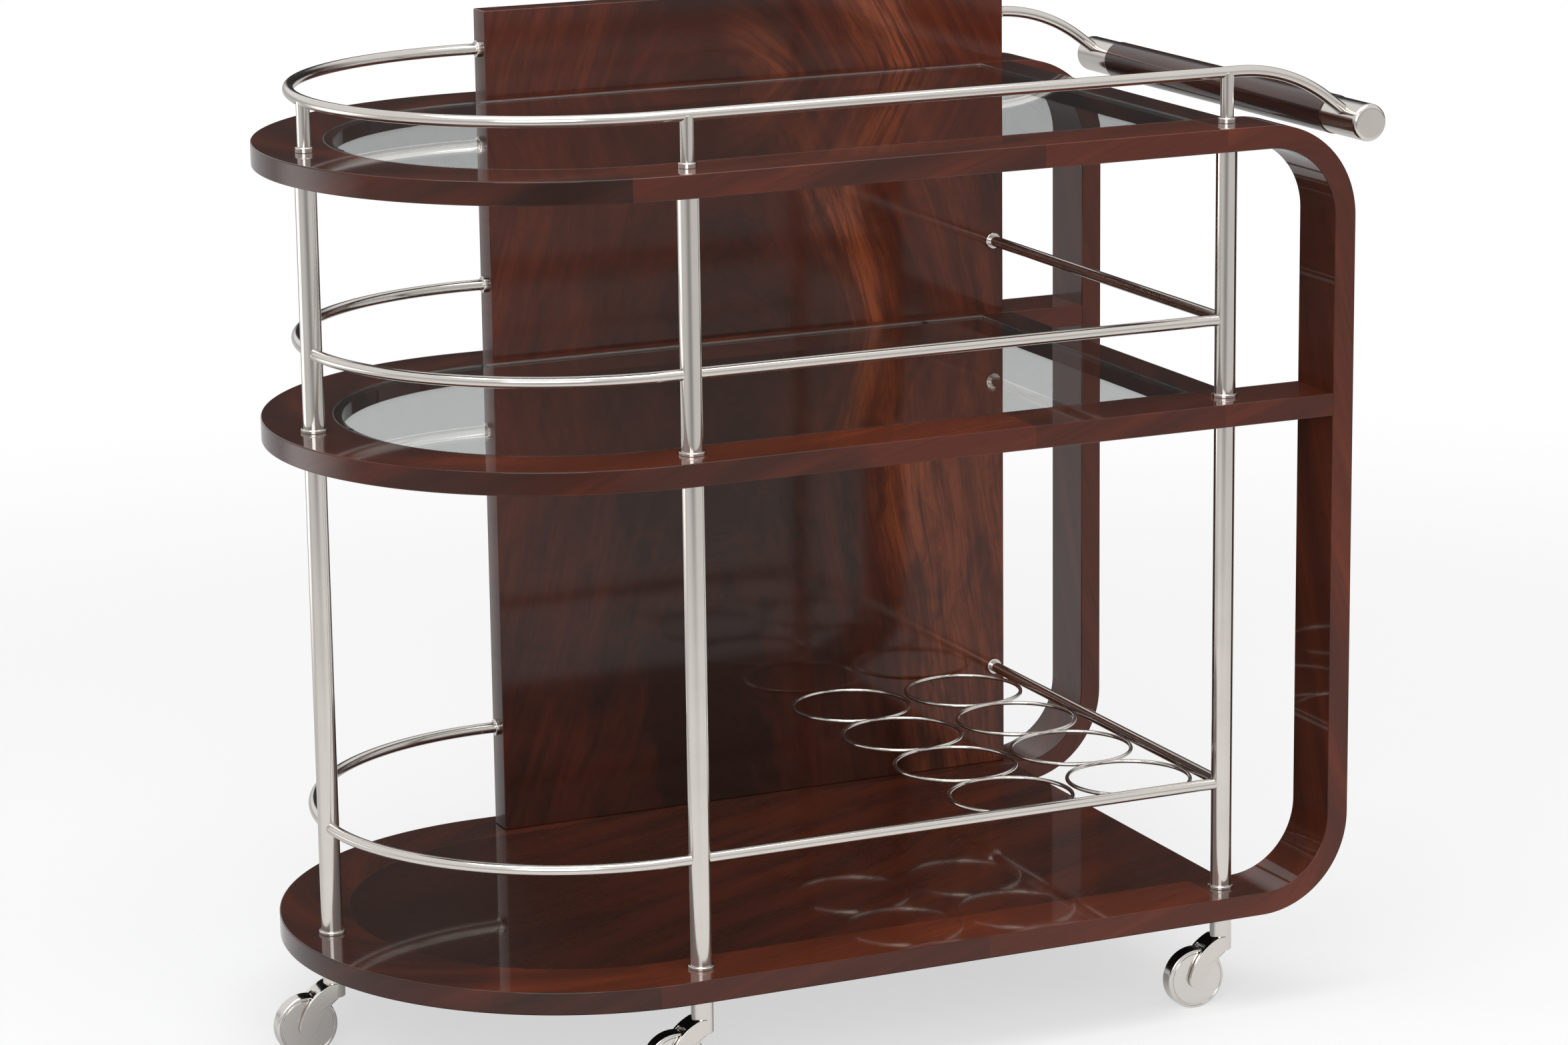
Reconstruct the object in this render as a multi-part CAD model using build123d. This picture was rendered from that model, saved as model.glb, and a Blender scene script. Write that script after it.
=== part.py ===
from build123d import *
import math
import os

# Bar cart with a half-round end: a wooden base, two glass shelves in wooden frames, a back panel,
# bent end loops, round metal posts and guard rails, wire rings for bottles, a push handle, five casters.
# Millimetres, +Z up. The origin is on the floor, under the middle of the cart's outer box.
# +X runs along the cart to the push handle, -Y is the open front and +Y the panelled back.
# A reach is measured along +X from the centre of the half-round end.

# Boards and strips
depth = 500.0  # front to back over the boards
board_t = 19.0  # thickness of boards and strips
strip_w = 58.0  # width of the strips that frame the glass, and of the end loops
loop_reach = 596.0  # outer face of the end loops
end_run = 120.0  # that face back to the joint with the shelf frames
bar_w = 30.0  # width of the cross bars
loop_corner_r = 80.0  # outer corner radius of the end loops
wood_round = 1.0  # softened edges of the wood

# Heights
floor_gap = 82.4  # floor to the underside of the base
lower_gap = 402.0  # clear height between the base and the middle shelf
upper_gap = 207.0  # clear height between the middle and the top shelf

# Back panel
panel_t = 25.0  # thickness
panel_lead = 4.0  # left edge before the line of the middle post
panel_past = 28.0  # right edge past the joint of the shelf frames
panel_rise = 74.0  # how far the panel stands above the top shelf
panel_gap = 0.2  # room round the panel in its slots

# Glass
glass_t = 6.0  # thickness of a pane
glass_gap = 0.5  # room between a pane and the wood round it
glass_bevel = 0.5  # ground edges of a pane
ledge_w = 8.0  # width of the ledge that carries a pane
pad_t = 1.0  # thickness of the pads under a pane
pad_d = 6.0  # diameter of the pads

# Posts, stubs and their studs
post_inset = 32.0  # outer edge of a shelf to the line of posts and rails
middle_reach = 18.0  # middle post
post_back = 11.0  # right post and cross rails, back from the right edge of the panel
post_d = 17.5  # outer diameter of a post
post_wall = 1.5  # wall of its tube
plug_l = 15.0  # solid end of a post
collar_d = 21.5  # collar at the foot of a post
collar_h = 3.0  # its height
stub_d = 11.0  # short stub under the top rail
stub_collar_d = 14.5  # collar at the foot of a stub
stub_collar_h = 4.5  # its height
stud_d = 6.0  # stud through a shelf
stud_grip = 12.0  # how far a stud reaches into a post or stub
fit_gap = 0.05  # radial room of a pin or rail in its hole

# Rails
rail_d = 9.5  # diameter of the round bar
low_rail_rise = 91.0  # above the base
mid_rail_rise = 64.0  # above the middle shelf
top_rail_rise = 41.0  # above the top shelf
rail_seat = 10.0  # how far a rail is let into the panel
rail_stop = 5.2  # end of a rail to the axis of the right post
rosette_d = 14.5  # ring where a rail meets the panel
rosette_t = 4.0  # its thickness
metal_round = 1.0  # softened edges of turned metal

# Bottle rings
wire_d = 3.5  # diameter of the wire
rings_deep = 4  # rings from front to back
ring_drop = 3.5  # middle of the rails down to the middle of the wire
column_gap = 4.3  # room between the two columns of rings
weld_bite = 2.4  # overlap of neighbouring rings at their weld
weld_gap = 0.05  # room left between the rings and what stands beside them

# Push handle
bend_r = 138.0  # radius of the downward bend of the handle rails
bend_deg = 36.5  # angle of that bend
handle_run = 33.5  # straight run from the bend to the axis of the handle
grip_d = 32.5  # wooden grip
cap_d = 31.0  # metal caps at both ends
cap_l = 55.0  # length of a cap
cap_inset = 7.0  # outer end of a cap to the front or back of the shelves
cap_wall = 8.0  # closed end of a cap
cap_seat = 8.0  # how far a rail is let into a cap
cap_round = 4.0  # rounded outer end of a cap
rod_d = 12.0  # rod through the grip

# Casters
wheel_d = 52.0  # diameter of a wheel
wheel_w = 12.8  # width of a wheel
wheel_round = 2.0  # rounded edges of a wheel
groove_d = 45.5  # middle of the groove turned into both faces of a wheel
groove_w = 1.6  # width of the groove
groove_deep = 0.8  # depth of the groove
caster_trail = 26.0  # kingpin axis to wheel axle
axle_d = 6.0  # axle
fork_w = 20.0  # width over the cheeks of the fork
fork_end_r = 8.0  # rounded end of the cheeks round the axle
fork_upper_deg = 156.0  # where the upper edge of the cheeks leaves that end
fork_lower_deg = 320.0  # where the lower edge leaves it
fork_crown = 4.9  # bulge of the upper edge of the cheeks
fork_scoop = 2.5  # hollow of the lower edge of the cheeks
fork_back = 7.0  # kingpin axis to where the upper edge meets the barrel
fork_drop = 17.1  # top of the barrel to the same point
barrel_d = 18.0  # upright barrel of the fork
barrel_l = 29.6  # its length
mount_d = 18.0  # round mount above the fork
mount_h = 5.0  # its height
kingpin_d = 8.0  # pin that the fork turns on
kingpin_l = 18.0  # its length below the mount
caster_stud_d = 8.0  # stud that holds a caster in the base
blind_grip = 16.0  # length of that stud where no post stands above it
run_gap = 0.05  # radial running room of wheels and forks on their pins
swivel_gap = 0.4  # room above and beside turning pieces
wheel_room = 1.5  # room between the rim of a wheel and its fork

# Dowels and screws
dowel_d = 8.0  # dowels in the wooden joints
dowel_l = 24.0  # their length, half on each side of a joint
screw_d = 4.0  # shank of the panel screws
screw_head_d = 8.0  # their heads, under the base
screw_head_t = 2.5  # thickness of a head
screw_grip = 20.0  # reach of a screw up into the panel
screw_pitch = 150.0  # spacing of the screws along the panel

past = 2.0  # how far a cut runs past a face

# Levels, worked out from the heights
base_z = floor_gap
base_top = base_z + board_t
mid_z = base_top + lower_gap
mid_top = mid_z + board_t
top_z = mid_top + upper_gap
top_top = top_z + board_t
panel_top = top_top + panel_rise
low_rail_z = base_top + low_rail_rise
mid_rail_z = mid_top + mid_rail_rise
top_rail_z = top_top + top_rail_rise
glass_drop = glass_t + pad_t
shelf_middles = [z + board_t / 2 for z in (base_z, mid_z, top_z)]

# Plan, worked out from the reaches
edge_y = depth / 2
line_y = edge_y - post_inset
strip_y = edge_y - strip_w
ledge_y = strip_y - ledge_w
bend = math.radians(bend_deg)
panel_right_reach = loop_reach - end_run + panel_past
handle_reach = panel_right_reach + bend_r * math.sin(bend) + handle_run * math.cos(bend)
handle_z = top_rail_z - bend_r * (1 - math.cos(bend)) - handle_run * math.sin(bend)
left_end = max(edge_y, line_y + caster_trail + wheel_d / 2)
right_end = max(loop_reach, handle_reach + grip_d / 2)
round_x = (left_end - right_end) / 2
loop_x = round_x + loop_reach
loop_inner_x = loop_x - board_t
splice_x = loop_x - end_run
bar_x = splice_x + bar_w
middle_x = round_x + middle_reach
panel_left = middle_x - panel_lead
panel_right = round_x + panel_right_reach
right_x = panel_right - post_back
panel_middle = (panel_left + panel_right) / 2
panel_front = line_y - panel_t / 2
panel_back = line_y + panel_t / 2
handle_x = round_x + handle_reach
cap_end = edge_y - cap_inset
grip_end = cap_end - cap_l
post_spots = {
    "left": (round_x - line_y, 0),
    "middle": (middle_x, -line_y),
    "right": (right_x, -line_y),
}
caster_spots = {
    "left": post_spots["left"],
    "middle_front": post_spots["middle"],
    "right_front": post_spots["right"],
    "middle_rear": (middle_x, line_y),
    "right_rear": (right_x, line_y),
}
axle_z = wheel_d / 2
barrel_top = base_z - mount_h - swivel_gap
barrel_foot = barrel_top - barrel_l


# Shapes that many pieces use

def block(low, high):
    """Box between two opposite corners."""
    size = [b - a for a, b in zip(low, high)]
    middle = [(a + b) / 2 for a, b in zip(low, high)]
    return Pos(*middle) * Box(*size)


def pin(start, end, d):
    """Round bar of diameter d from one point to another."""
    way = Vector(*end) - Vector(*start)
    return Solid.make_cylinder(d / 2, way.length, Plane(origin=start, z_dir=way))


def upright(spot, low, high, d):
    """Round bar that stands on a spot of the plan between two heights."""
    return pin((*spot, low), (*spot, high), d)


def tongue(r, end, low, high):
    """Board with a half-round left end of radius r, cut square at x = end."""
    front = Line((round_x, -r), (end, -r))
    square = Line((end, -r), (end, r))
    back = Line((end, r), (round_x, r))
    nose = ThreePointArc((round_x, r), (round_x - r, 0), (round_x, -r))
    outline = make_face(front + square + back + nose)
    return Pos(0, 0, low) * extrude(outline, high - low, dir=(0, 0, 1))


def soften(solid, axis, r, shown):
    """Rounds the edges of the two end faces across an axis where shown(edge centre) is true."""
    faces = solid.faces().sort_by(axis)
    edges = [edge for face in (faces[0], faces[-1]) for edge in face.edges() if shown(edge.center())]
    return fillet(edges, r)


def swept_rod(path, d):
    """Round bar of diameter d along a path."""
    return sweep(Plane(origin=path @ 0, z_dir=path % 0) * Circle(d / 2), path=path)


def group(pieces):
    """Separate solids of one kind, kept in one node."""
    return Compound([solid for piece in pieces for solid in piece.solids()])


# Lines of the rails

def guard_path(z, end):
    """Out of the left edge of the panel, round the half-round end and along the front to x = end."""
    back = Line((panel_left + rail_seat, line_y, z), (round_x, line_y, z))
    nose = ThreePointArc((round_x, line_y, z), (round_x - line_y, 0, z), (round_x, -line_y, z))
    front = Line((round_x, -line_y, z), (end, -line_y, z))
    return back + nose + front


def handle_path(y):
    """From the right edge of the panel down in an arc, then straight into the cap of the handle."""
    def on_bend(turn):
        return (panel_right + bend_r * math.sin(turn), y, top_rail_z - bend_r * (1 - math.cos(turn)))
    run = handle_run - cap_d / 2 + cap_seat
    foot = on_bend(bend)
    tip = (foot[0] + run * math.cos(bend), y, foot[2] - run * math.sin(bend))
    return ThreePointArc(on_bend(0), on_bend(bend / 2), foot) + Line(foot, tip)


def cross_path(z):
    """From the right post to the front of the panel."""
    return Line((right_x, -line_y + rail_stop, z), (right_x, panel_front + rail_seat, z))


def rear_handle_path():
    """From inside the right edge of the panel along the same bend as the front rail."""
    start = (panel_right - rail_seat, line_y, top_rail_z)
    edge = (panel_right, line_y, top_rail_z)
    return Line(start, edge) + handle_path(line_y)


rail_paths = {
    "top_rail": guard_path(top_rail_z, panel_right) + handle_path(-line_y),
    "mid_rail": guard_path(mid_rail_z, right_x - rail_stop),
    "low_rail": guard_path(low_rail_z, right_x - rail_stop),
    "mid_cross_rail": cross_path(mid_rail_z),
    "low_cross_rail": cross_path(low_rail_z),
    "rear_handle_rail": rear_handle_path(),
}
rails = {name: swept_rod(path, rail_d) for name, path in rail_paths.items()}
rail_holes = {name: swept_rod(path, rail_d + 2 * fit_gap) for name, path in rail_paths.items()}


# Places of the dowels, studs and screws

def dowel_lines():
    """Splices of the frames, butt joints of the middle arms and ends of the cross bars and the base."""
    lines = []
    half = dowel_l / 2
    splice_y = (panel_back + edge_y) / 2
    strip_middle = (strip_y + edge_y) / 2
    bar_middle = splice_x + bar_w / 2
    for side in (-1, 1):
        for z in shelf_middles:
            lines.append(((splice_x - half, side * splice_y, z), (splice_x + half, side * splice_y, z)))
            for x in (bar_middle - bar_w / 4, bar_middle + bar_w / 4):
                lines.append(((x, side * (strip_y - half), z), (x, side * (strip_y + half), z)))
        for y in (strip_middle - strip_w / 4, strip_middle + strip_w / 4):
            z = mid_z + board_t / 2
            lines.append(((loop_inner_x - half, side * y, z), (loop_inner_x + half, side * y, z)))
    return lines


def stud_lines():
    """Studs through the middle and the top shelf, at every post."""
    return [
        ((*spot, low - stud_grip), (*spot, low + board_t + stud_grip))
        for spot in post_spots.values()
        for low in (mid_z, top_z)
    ]


def screw_spots():
    """Places of the screws that come up through the base into the panel."""
    return [(panel_middle + step * screw_pitch, line_y) for step in (-1, 0, 1)]


def screw_shank(spot, room):
    """Shank of a screw, with some radial room round it where it is used as a drill."""
    return upright(spot, base_z, base_top + screw_grip, screw_d + 2 * room)


def caster_stud(name, room):
    """Stud of a caster: up into a post, or blind in the base under the panel."""
    length = board_t + stud_grip if name in ("left", "middle_front", "right_front") else blind_grip
    return upright(caster_spots[name], base_z, base_z + length, caster_stud_d + 2 * room)


drills = [pin(start, end, dowel_d + 2 * fit_gap) for start, end in dowel_lines()]
drills += [pin(start, end, stud_d + 2 * fit_gap) for start, end in stud_lines()]
drills += [screw_shank(spot, fit_gap) for spot in screw_spots()]
drills += [caster_stud(name, fit_gap) for name in caster_spots]
slot = block(
    (panel_left - panel_gap, panel_front - panel_gap, base_top),
    (panel_right + panel_gap, panel_back + panel_gap, panel_top),
)


# Wooden pieces

def base_shelf():
    """Solid board that runs on between the end loops."""
    board = tongue(edge_y, splice_x, base_z, base_top)
    board += block((round_x, -strip_y, base_z), (bar_x, strip_y, base_top))
    def shown(p):
        return p.X > bar_x - wood_round or abs(p.Y) > edge_y - wood_round or p.X < round_x
    return soften(board, Axis.Z, wood_round, shown) - drills


def shelf_frame(low, high):
    """Strips round a pane, with a ledge under it and a slot for the panel."""
    frame = tongue(edge_y, splice_x, low, high)
    frame = soften(frame, Axis.Z, wood_round, lambda p: p.X < splice_x - wood_round)
    frame -= tongue(strip_y, splice_x + past, high - glass_drop, high + past)
    frame -= tongue(ledge_y, splice_x + past, low - past, high)
    return frame - slot - drills


def side_span(side):
    """Front and back of the strip on one side of the cart."""
    return sorted((side * strip_y, side * edge_y))


def end_loop(side):
    """Bent strip on one side: bottom arm, upright and top arm."""
    front, back = side_span(side)
    outer = block((splice_x, front, base_z), (loop_x, back, top_top))
    outer = fillet(outer.edges().filter_by(Axis.Y).group_by(Axis.X)[-1], loop_corner_r)
    inner = block((splice_x - past, front - past, base_top), (loop_inner_x, back + past, top_z))
    inner = fillet(inner.edges().filter_by(Axis.Y).group_by(Axis.X)[-1], loop_corner_r - board_t)
    strip = soften(outer - inner, Axis.Y, wood_round, lambda p: p.X > splice_x + wood_round)
    return strip - slot - drills


def middle_arm(side):
    """Arm of the middle shelf from its splice to the end loop."""
    front, back = side_span(side)
    arm = block((splice_x, front, mid_z), (loop_inner_x, back, mid_top))
    arm = soften(arm, Axis.Y, wood_round, lambda p: splice_x + wood_round < p.X < loop_inner_x - wood_round)
    return arm - slot - drills


def cross_bar(low, high):
    """Bar that closes a glass opening, with the ledge for the right edge of the pane."""
    bar = block((splice_x, -strip_y, low), (bar_x, strip_y, high))
    bar = soften(bar, Axis.Z, wood_round, lambda p: p.X > bar_x - wood_round)
    bar += block((splice_x - ledge_w, -ledge_y, low), (splice_x, ledge_y, high - glass_drop))
    return bar - drills


def back_panel():
    """Upright board that stands on the base and passes both frames."""
    panel = block((panel_left, panel_front, base_top), (panel_right, panel_back, panel_top))
    panel = soften(panel, Axis.Y, wood_round, lambda p: p.Z > base_top + wood_round)
    return panel - drills - list(rail_holes.values())


# Glass

def pane(high):
    """Pane with ground edges, flush with the top of its frame."""
    glass = tongue(strip_y - glass_gap, splice_x - glass_gap, high - glass_t, high)
    faces = glass.faces().sort_by(Axis.Z)
    return chamfer(faces[0].edges() + faces[-1].edges(), glass_bevel)


def glass_pads():
    """Small clear pads on the ledges of both frames."""
    on_ledge = (strip_y + ledge_y) / 2
    along = (round_x, splice_x - strip_w)
    spots = [(round_x - on_ledge, 0)]
    spots += [(x, side * on_ledge) for x in along for side in (-1, 1)]
    spots += [(splice_x - ledge_w / 2, side * on_ledge / 2) for side in (-1, 1)]
    seats = [high - glass_drop for high in (mid_top, top_top)]
    return group([upright(spot, seat, seat + pad_t, pad_d) for spot in spots for seat in seats])


# Screws

def panel_screw(spot):
    """Screw with a round head under the base."""
    head = upright(spot, base_z - screw_head_t, base_z, screw_head_d)
    head = fillet(head.edges().sort_by(Axis.Z)[0], metal_round)
    return head + screw_shank(spot, 0)


# Posts and stubs

def post(spot, low, high, low_stud_d):
    """Tube between two boards, with a solid drilled end at both of them."""
    tube = upright(spot, low, high, post_d)
    tube -= upright(spot, low + plug_l, high - plug_l, post_d - 2 * post_wall)
    tube -= upright(spot, low, low + stud_grip, low_stud_d + 2 * fit_gap)
    tube -= upright(spot, high - stud_grip, high, stud_d + 2 * fit_gap)
    return tube - list(rail_holes.values())


def top_stub(spot):
    """Short round bar that carries the top rail in its hollowed top."""
    bar = upright(spot, top_top, top_rail_z, stub_d)
    bar -= upright(spot, top_top, top_top + stud_grip, stud_d + 2 * fit_gap)
    return bar - rail_holes["top_rail"]


def collar(spot, low, d, h, inner_d):
    """Ring round the foot of a post or stub."""
    ring = upright(spot, low, low + h, d)
    ring = fillet(ring.edges().sort_by(Axis.Z)[-1], min(metal_round, (d - inner_d) / 4))
    return ring - upright(spot, low - past, low + h + past, inner_d + 2 * fit_gap)


def post_collars():
    """Collars at the feet of all posts and stubs."""
    rings = []
    for spot in post_spots.values():
        rings += [collar(spot, low, collar_d, collar_h, post_d) for low in (base_top, mid_top)]
        rings.append(collar(spot, top_top, stub_collar_d, stub_collar_h, stub_d))
    return group(rings)


# Metal between the posts and the panel

def rosette(seat, way, rail):
    """Ring on a face of the panel, round the rail that enters there."""
    tip = tuple(Vector(*seat) + Vector(*way) * rosette_t)
    ring = pin(seat, tip, rosette_d)
    rims = ring.edges().filter_by(GeomType.CIRCLE)
    outer = rims.sort_by(lambda rim: (rim.arc_center - Vector(*tip)).length)[0]
    return fillet(outer, metal_round) - rail_holes[rail]


def rail_rosettes():
    """Rosettes of every rail that ends in the panel."""
    rings = []
    for rail, z in (("top_rail", top_rail_z), ("mid_rail", mid_rail_z), ("low_rail", low_rail_z)):
        rings.append(rosette((panel_left, line_y, z), (-1, 0, 0), rail))
    for rail, z in (("mid_cross_rail", mid_rail_z), ("low_cross_rail", low_rail_z)):
        rings.append(rosette((right_x, panel_front, z), (0, -1, 0), rail))
    rings.append(rosette((panel_right, line_y, top_rail_z), (1, 0, 0), "rear_handle_rail"))
    return group(rings)


def ring_column(column):
    """Wire rings from the front rail to the panel, welded to each other; column 0 is at the cross rail."""
    touch = (rail_d + wire_d) / 2 + weld_gap
    weld_reach = math.sqrt(touch**2 - ring_drop**2) - wire_d / 2
    first_y = -line_y + weld_reach
    last_y = panel_front - weld_gap
    ring_d = (last_y - first_y + (rings_deep - 1) * weld_bite) / rings_deep
    x = right_x - weld_reach - ring_d / 2 - column * (ring_d + column_gap)
    loops = [
        Pos(x, first_y + ring_d / 2 + row * (ring_d - weld_bite), low_rail_z - ring_drop)
        * Torus((ring_d - wire_d) / 2, wire_d / 2)
        for row in range(rings_deep)
    ]
    return loops[0] + loops[1:]


# Push handle

def handle_grip():
    """Wooden roll between the caps."""
    grip = pin((handle_x, -grip_end, handle_z), (handle_x, grip_end, handle_z), grip_d)
    grip = soften(grip, Axis.Y, metal_round, lambda p: True)
    return grip - handle_bore()


def handle_bore():
    """Bore for the rod through the grip and both caps."""
    tip = cap_end - cap_wall
    return pin((handle_x, -tip, handle_z), (handle_x, tip, handle_z), rod_d + 2 * fit_gap)


def handle_cap(side):
    """Metal cap at one end of the grip, drilled for its rail."""
    cap = pin((handle_x, side * grip_end, handle_z), (handle_x, side * cap_end, handle_z), cap_d)
    rims = cap.edges().filter_by(GeomType.CIRCLE)
    cap = fillet(rims.sort_by(lambda rim: abs(rim.arc_center.Y))[-1], cap_round)
    rail = "top_rail" if side < 0 else "rear_handle_rail"
    return cap - handle_bore() - rail_holes[rail]


def handle_rod():
    """Rod that ties the grip and the caps together."""
    tip = cap_end - cap_wall
    return pin((handle_x, -tip, handle_z), (handle_x, tip, handle_z), rod_d)


# Casters

def caster_mount(name):
    """Round mount under the base, with the kingpin below it and the stud above it."""
    spot = caster_spots[name]
    low = base_z - mount_h
    cap = upright(spot, low, base_z, mount_d)
    cap = fillet(cap.edges().sort_by(Axis.Z)[0], metal_round)
    return cap + upright(spot, low - kingpin_l, low, kingpin_d) + caster_stud(name, 0)


def axle_line(name, half):
    """Ends of a bar along the axle of a caster, half its length to each side."""
    x, y = caster_spots[name]
    return (x - caster_trail, y - half, axle_z), (x - caster_trail, y + half, axle_z)


def fork_cheeks(name):
    """Side outline of a fork: from the barrel in a bulged arc down to the axle and back up in a hollow one."""
    x, y = caster_spots[name]
    def round_end(turn):
        angle = math.radians(turn)
        return (x - caster_trail + fork_end_r * math.cos(angle), axle_z + fork_end_r * math.sin(angle))
    upper = round_end(fork_upper_deg)
    lowest = round_end((fork_upper_deg + fork_lower_deg) / 2)
    lower = round_end(fork_lower_deg)
    shoulder = (x - fork_back, barrel_top - fork_drop)
    crown = SagittaArc(shoulder, upper, -fork_crown)
    nose = ThreePointArc(upper, lowest, lower)
    scoop = SagittaArc(lower, (x, barrel_foot), fork_scoop)
    inner = Polyline((x, barrel_foot), (x, shoulder[1]), shoulder)
    side = Plane(origin=(0, y, 0), x_dir=(1, 0, 0), z_dir=(0, -1, 0))
    return extrude(side * make_face(crown + nose + scoop + inner), fork_w / 2, both=True)


def fork(name):
    """Swivelling fork: barrel on the kingpin, two cheeks and the web between them."""
    spot = caster_spots[name]
    barrel = upright(spot, barrel_foot, barrel_top, barrel_d)
    barrel = fillet(barrel.edges().filter_by(GeomType.CIRCLE), metal_round)
    slot_half = wheel_w / 2 + swivel_gap
    pin_foot = base_z - mount_h - kingpin_l - swivel_gap
    body = barrel + fork_cheeks(name)
    body -= pin(*axle_line(name, slot_half), wheel_d + 2 * wheel_room)
    body -= pin(*axle_line(name, fork_w), axle_d + 2 * fit_gap)
    return body - upright(spot, pin_foot, barrel_top + past, kingpin_d + 2 * run_gap)


def axle(name):
    """Axle through both cheeks, flush with their outer faces."""
    return pin(*axle_line(name, fork_w / 2), axle_d)


def wheel(name):
    """Turned wheel with a groove in both faces."""
    start, end = axle_line(name, wheel_w / 2)
    disc = pin(start, end, wheel_d)
    disc = fillet(disc.edges().filter_by(GeomType.CIRCLE), wheel_round)
    shell = pin(start, end, groove_d + groove_w) - pin(start, end, groove_d - groove_w)
    shell -= pin(*axle_line(name, wheel_w / 2 - groove_deep), wheel_d)
    return disc - shell - pin(start, end, axle_d + 2 * run_gap)


# All pieces by name

pieces = {
    "base_shelf": base_shelf(),
    "mid_frame": shelf_frame(mid_z, mid_top),
    "top_frame": shelf_frame(top_z, top_top),
    "loop_front": end_loop(-1),
    "loop_rear": end_loop(1),
    "mid_arm_front": middle_arm(-1),
    "mid_arm_rear": middle_arm(1),
    "mid_cross_bar": cross_bar(mid_z, mid_top),
    "top_cross_bar": cross_bar(top_z, top_top),
    "back_panel": back_panel(),
    "mid_glass": pane(mid_top),
    "top_glass": pane(top_top),
    "glass_pads": glass_pads(),
    "post_collars": post_collars(),
    "post_studs": group([pin(start, end, stud_d) for start, end in stud_lines()]),
    "joint_dowels": group([pin(start, end, dowel_d) for start, end in dowel_lines()]),
    "panel_screws": group([panel_screw(spot) for spot in screw_spots()]),
    "rail_rosettes": rail_rosettes(),
    "bottle_rings_right": ring_column(0),
    "bottle_rings_left": ring_column(1),
    "handle_grip": handle_grip(),
    "handle_cap_front": handle_cap(-1),
    "handle_cap_rear": handle_cap(1),
    "handle_rod": handle_rod(),
}
pieces.update(rails)
for name, spot in post_spots.items():
    pieces["lower_post_" + name] = post(spot, base_top, mid_z, caster_stud_d)
    pieces["upper_post_" + name] = post(spot, mid_top, top_z, stud_d)
    pieces["top_stub_" + name] = top_stub(spot)
for name in caster_spots:
    pieces["caster_mount_" + name] = caster_mount(name)
    pieces["fork_" + name] = fork(name)
    pieces["axle_" + name] = axle(name)
    pieces["wheel_" + name] = wheel(name)

os.makedirs("parts", exist_ok=True)
for name, piece in pieces.items():
    export_step(piece, "parts/" + name + ".step")
print(len(pieces), "pieces")
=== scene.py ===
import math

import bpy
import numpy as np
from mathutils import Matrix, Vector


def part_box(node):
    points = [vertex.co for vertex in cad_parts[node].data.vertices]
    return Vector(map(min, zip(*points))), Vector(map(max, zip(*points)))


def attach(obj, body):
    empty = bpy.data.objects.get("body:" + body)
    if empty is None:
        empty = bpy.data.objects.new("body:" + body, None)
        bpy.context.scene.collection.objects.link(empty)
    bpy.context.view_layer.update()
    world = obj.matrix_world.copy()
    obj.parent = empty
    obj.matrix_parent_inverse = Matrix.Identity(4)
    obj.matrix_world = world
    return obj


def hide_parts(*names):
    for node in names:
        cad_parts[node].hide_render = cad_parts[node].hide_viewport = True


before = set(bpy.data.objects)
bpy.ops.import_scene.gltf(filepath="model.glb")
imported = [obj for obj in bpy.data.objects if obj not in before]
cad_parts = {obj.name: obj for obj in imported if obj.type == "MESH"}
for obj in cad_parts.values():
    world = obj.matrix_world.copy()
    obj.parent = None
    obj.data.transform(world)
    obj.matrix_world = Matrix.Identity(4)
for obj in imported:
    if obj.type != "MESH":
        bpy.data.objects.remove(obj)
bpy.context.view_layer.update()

# %% [markdown]
# # A bar cart with a half-round end
# Three shelves of lacquered mahogany, two of them with glass, stand on nickel posts and five casters. The
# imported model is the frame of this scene: every piece below takes its place from it. The solids have the
# right sizes, but their meshes are loose flat triangles, and on polished metal and lacquer each triangle
# would show as a facet. So each visible piece is worked out again here as one smooth surface.

MM = 0.001

# %% [markdown]
# ## Where things are
# The cart is set out from the centre of its half-round end. The levels of the three shelves, the lines of
# the posts and the handle are read from the boxes of the solids, so a change of the model is followed here.


# %% Levels and lines
def box(node):
    """Lowest and highest corner of a solid as arrays."""
    low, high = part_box(node)
    return np.array(low), np.array(high)


base_low, base_high = box("base_shelf")
mid_low, mid_high = box("mid_frame")
top_low, top_high = box("top_frame")
loop_low, loop_high = box("loop_front")
panel_low, panel_high = box("back_panel")
edge_y = base_high[1]
round_x = base_low[0] + edge_y
splice_x = mid_high[0]
bar_x = base_high[0]
strip_w = loop_high[1] - loop_low[1]
board_t = base_high[2] - base_low[2]
line_y = (panel_low[1] + panel_high[1]) / 2
print("centre of the half-round end at x =", round(round_x, 4), "shelf depth", round(2 * edge_y, 3))

# %% [markdown]
# ## Camera
# The camera was solved from the photo: the ellipses of the round ends, the posts and the loops fix its
# angle and distance. It stands in front and to the left, 13 degrees above the level, with a long lens. Its
# three axes are worked out and written into its matrix, which is exact where a Track To constraint would
# leave out the small roll.

# %% Camera
photo_w, focal_px = 2352, 7240.54
yaw, pitch, roll = np.radians([-24.178, 13.306, -0.756])
target = np.array([round_x + 0.192086, -0.002676, base_low[2] + 0.320981])
distance = 4.055684
ups = np.array([0.0, 0, 1])
back = np.array([math.sin(yaw) * math.cos(pitch), -math.cos(yaw) * math.cos(pitch), math.sin(pitch)])
right = np.cross(-back, ups)
right /= np.linalg.norm(right)
over = np.cross(right, -back)
right, over = math.cos(roll) * right + math.sin(roll) * over, math.cos(roll) * over - math.sin(roll) * right
lens = bpy.data.cameras.new("camera")
lens.sensor_fit, lens.sensor_width = "HORIZONTAL", 36.0
lens.lens = focal_px * lens.sensor_width / photo_w
lens.clip_end = 100.0
camera = bpy.data.objects.new("camera", lens)
placed = np.column_stack([right, over, back, target + back * distance])
camera.matrix_world = Matrix([*placed.tolist(), [0, 0, 0, 1]])
bpy.context.scene.collection.objects.link(camera)
bpy.context.scene.camera = camera
bpy.context.scene.view_settings.view_transform = "Standard"
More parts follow.
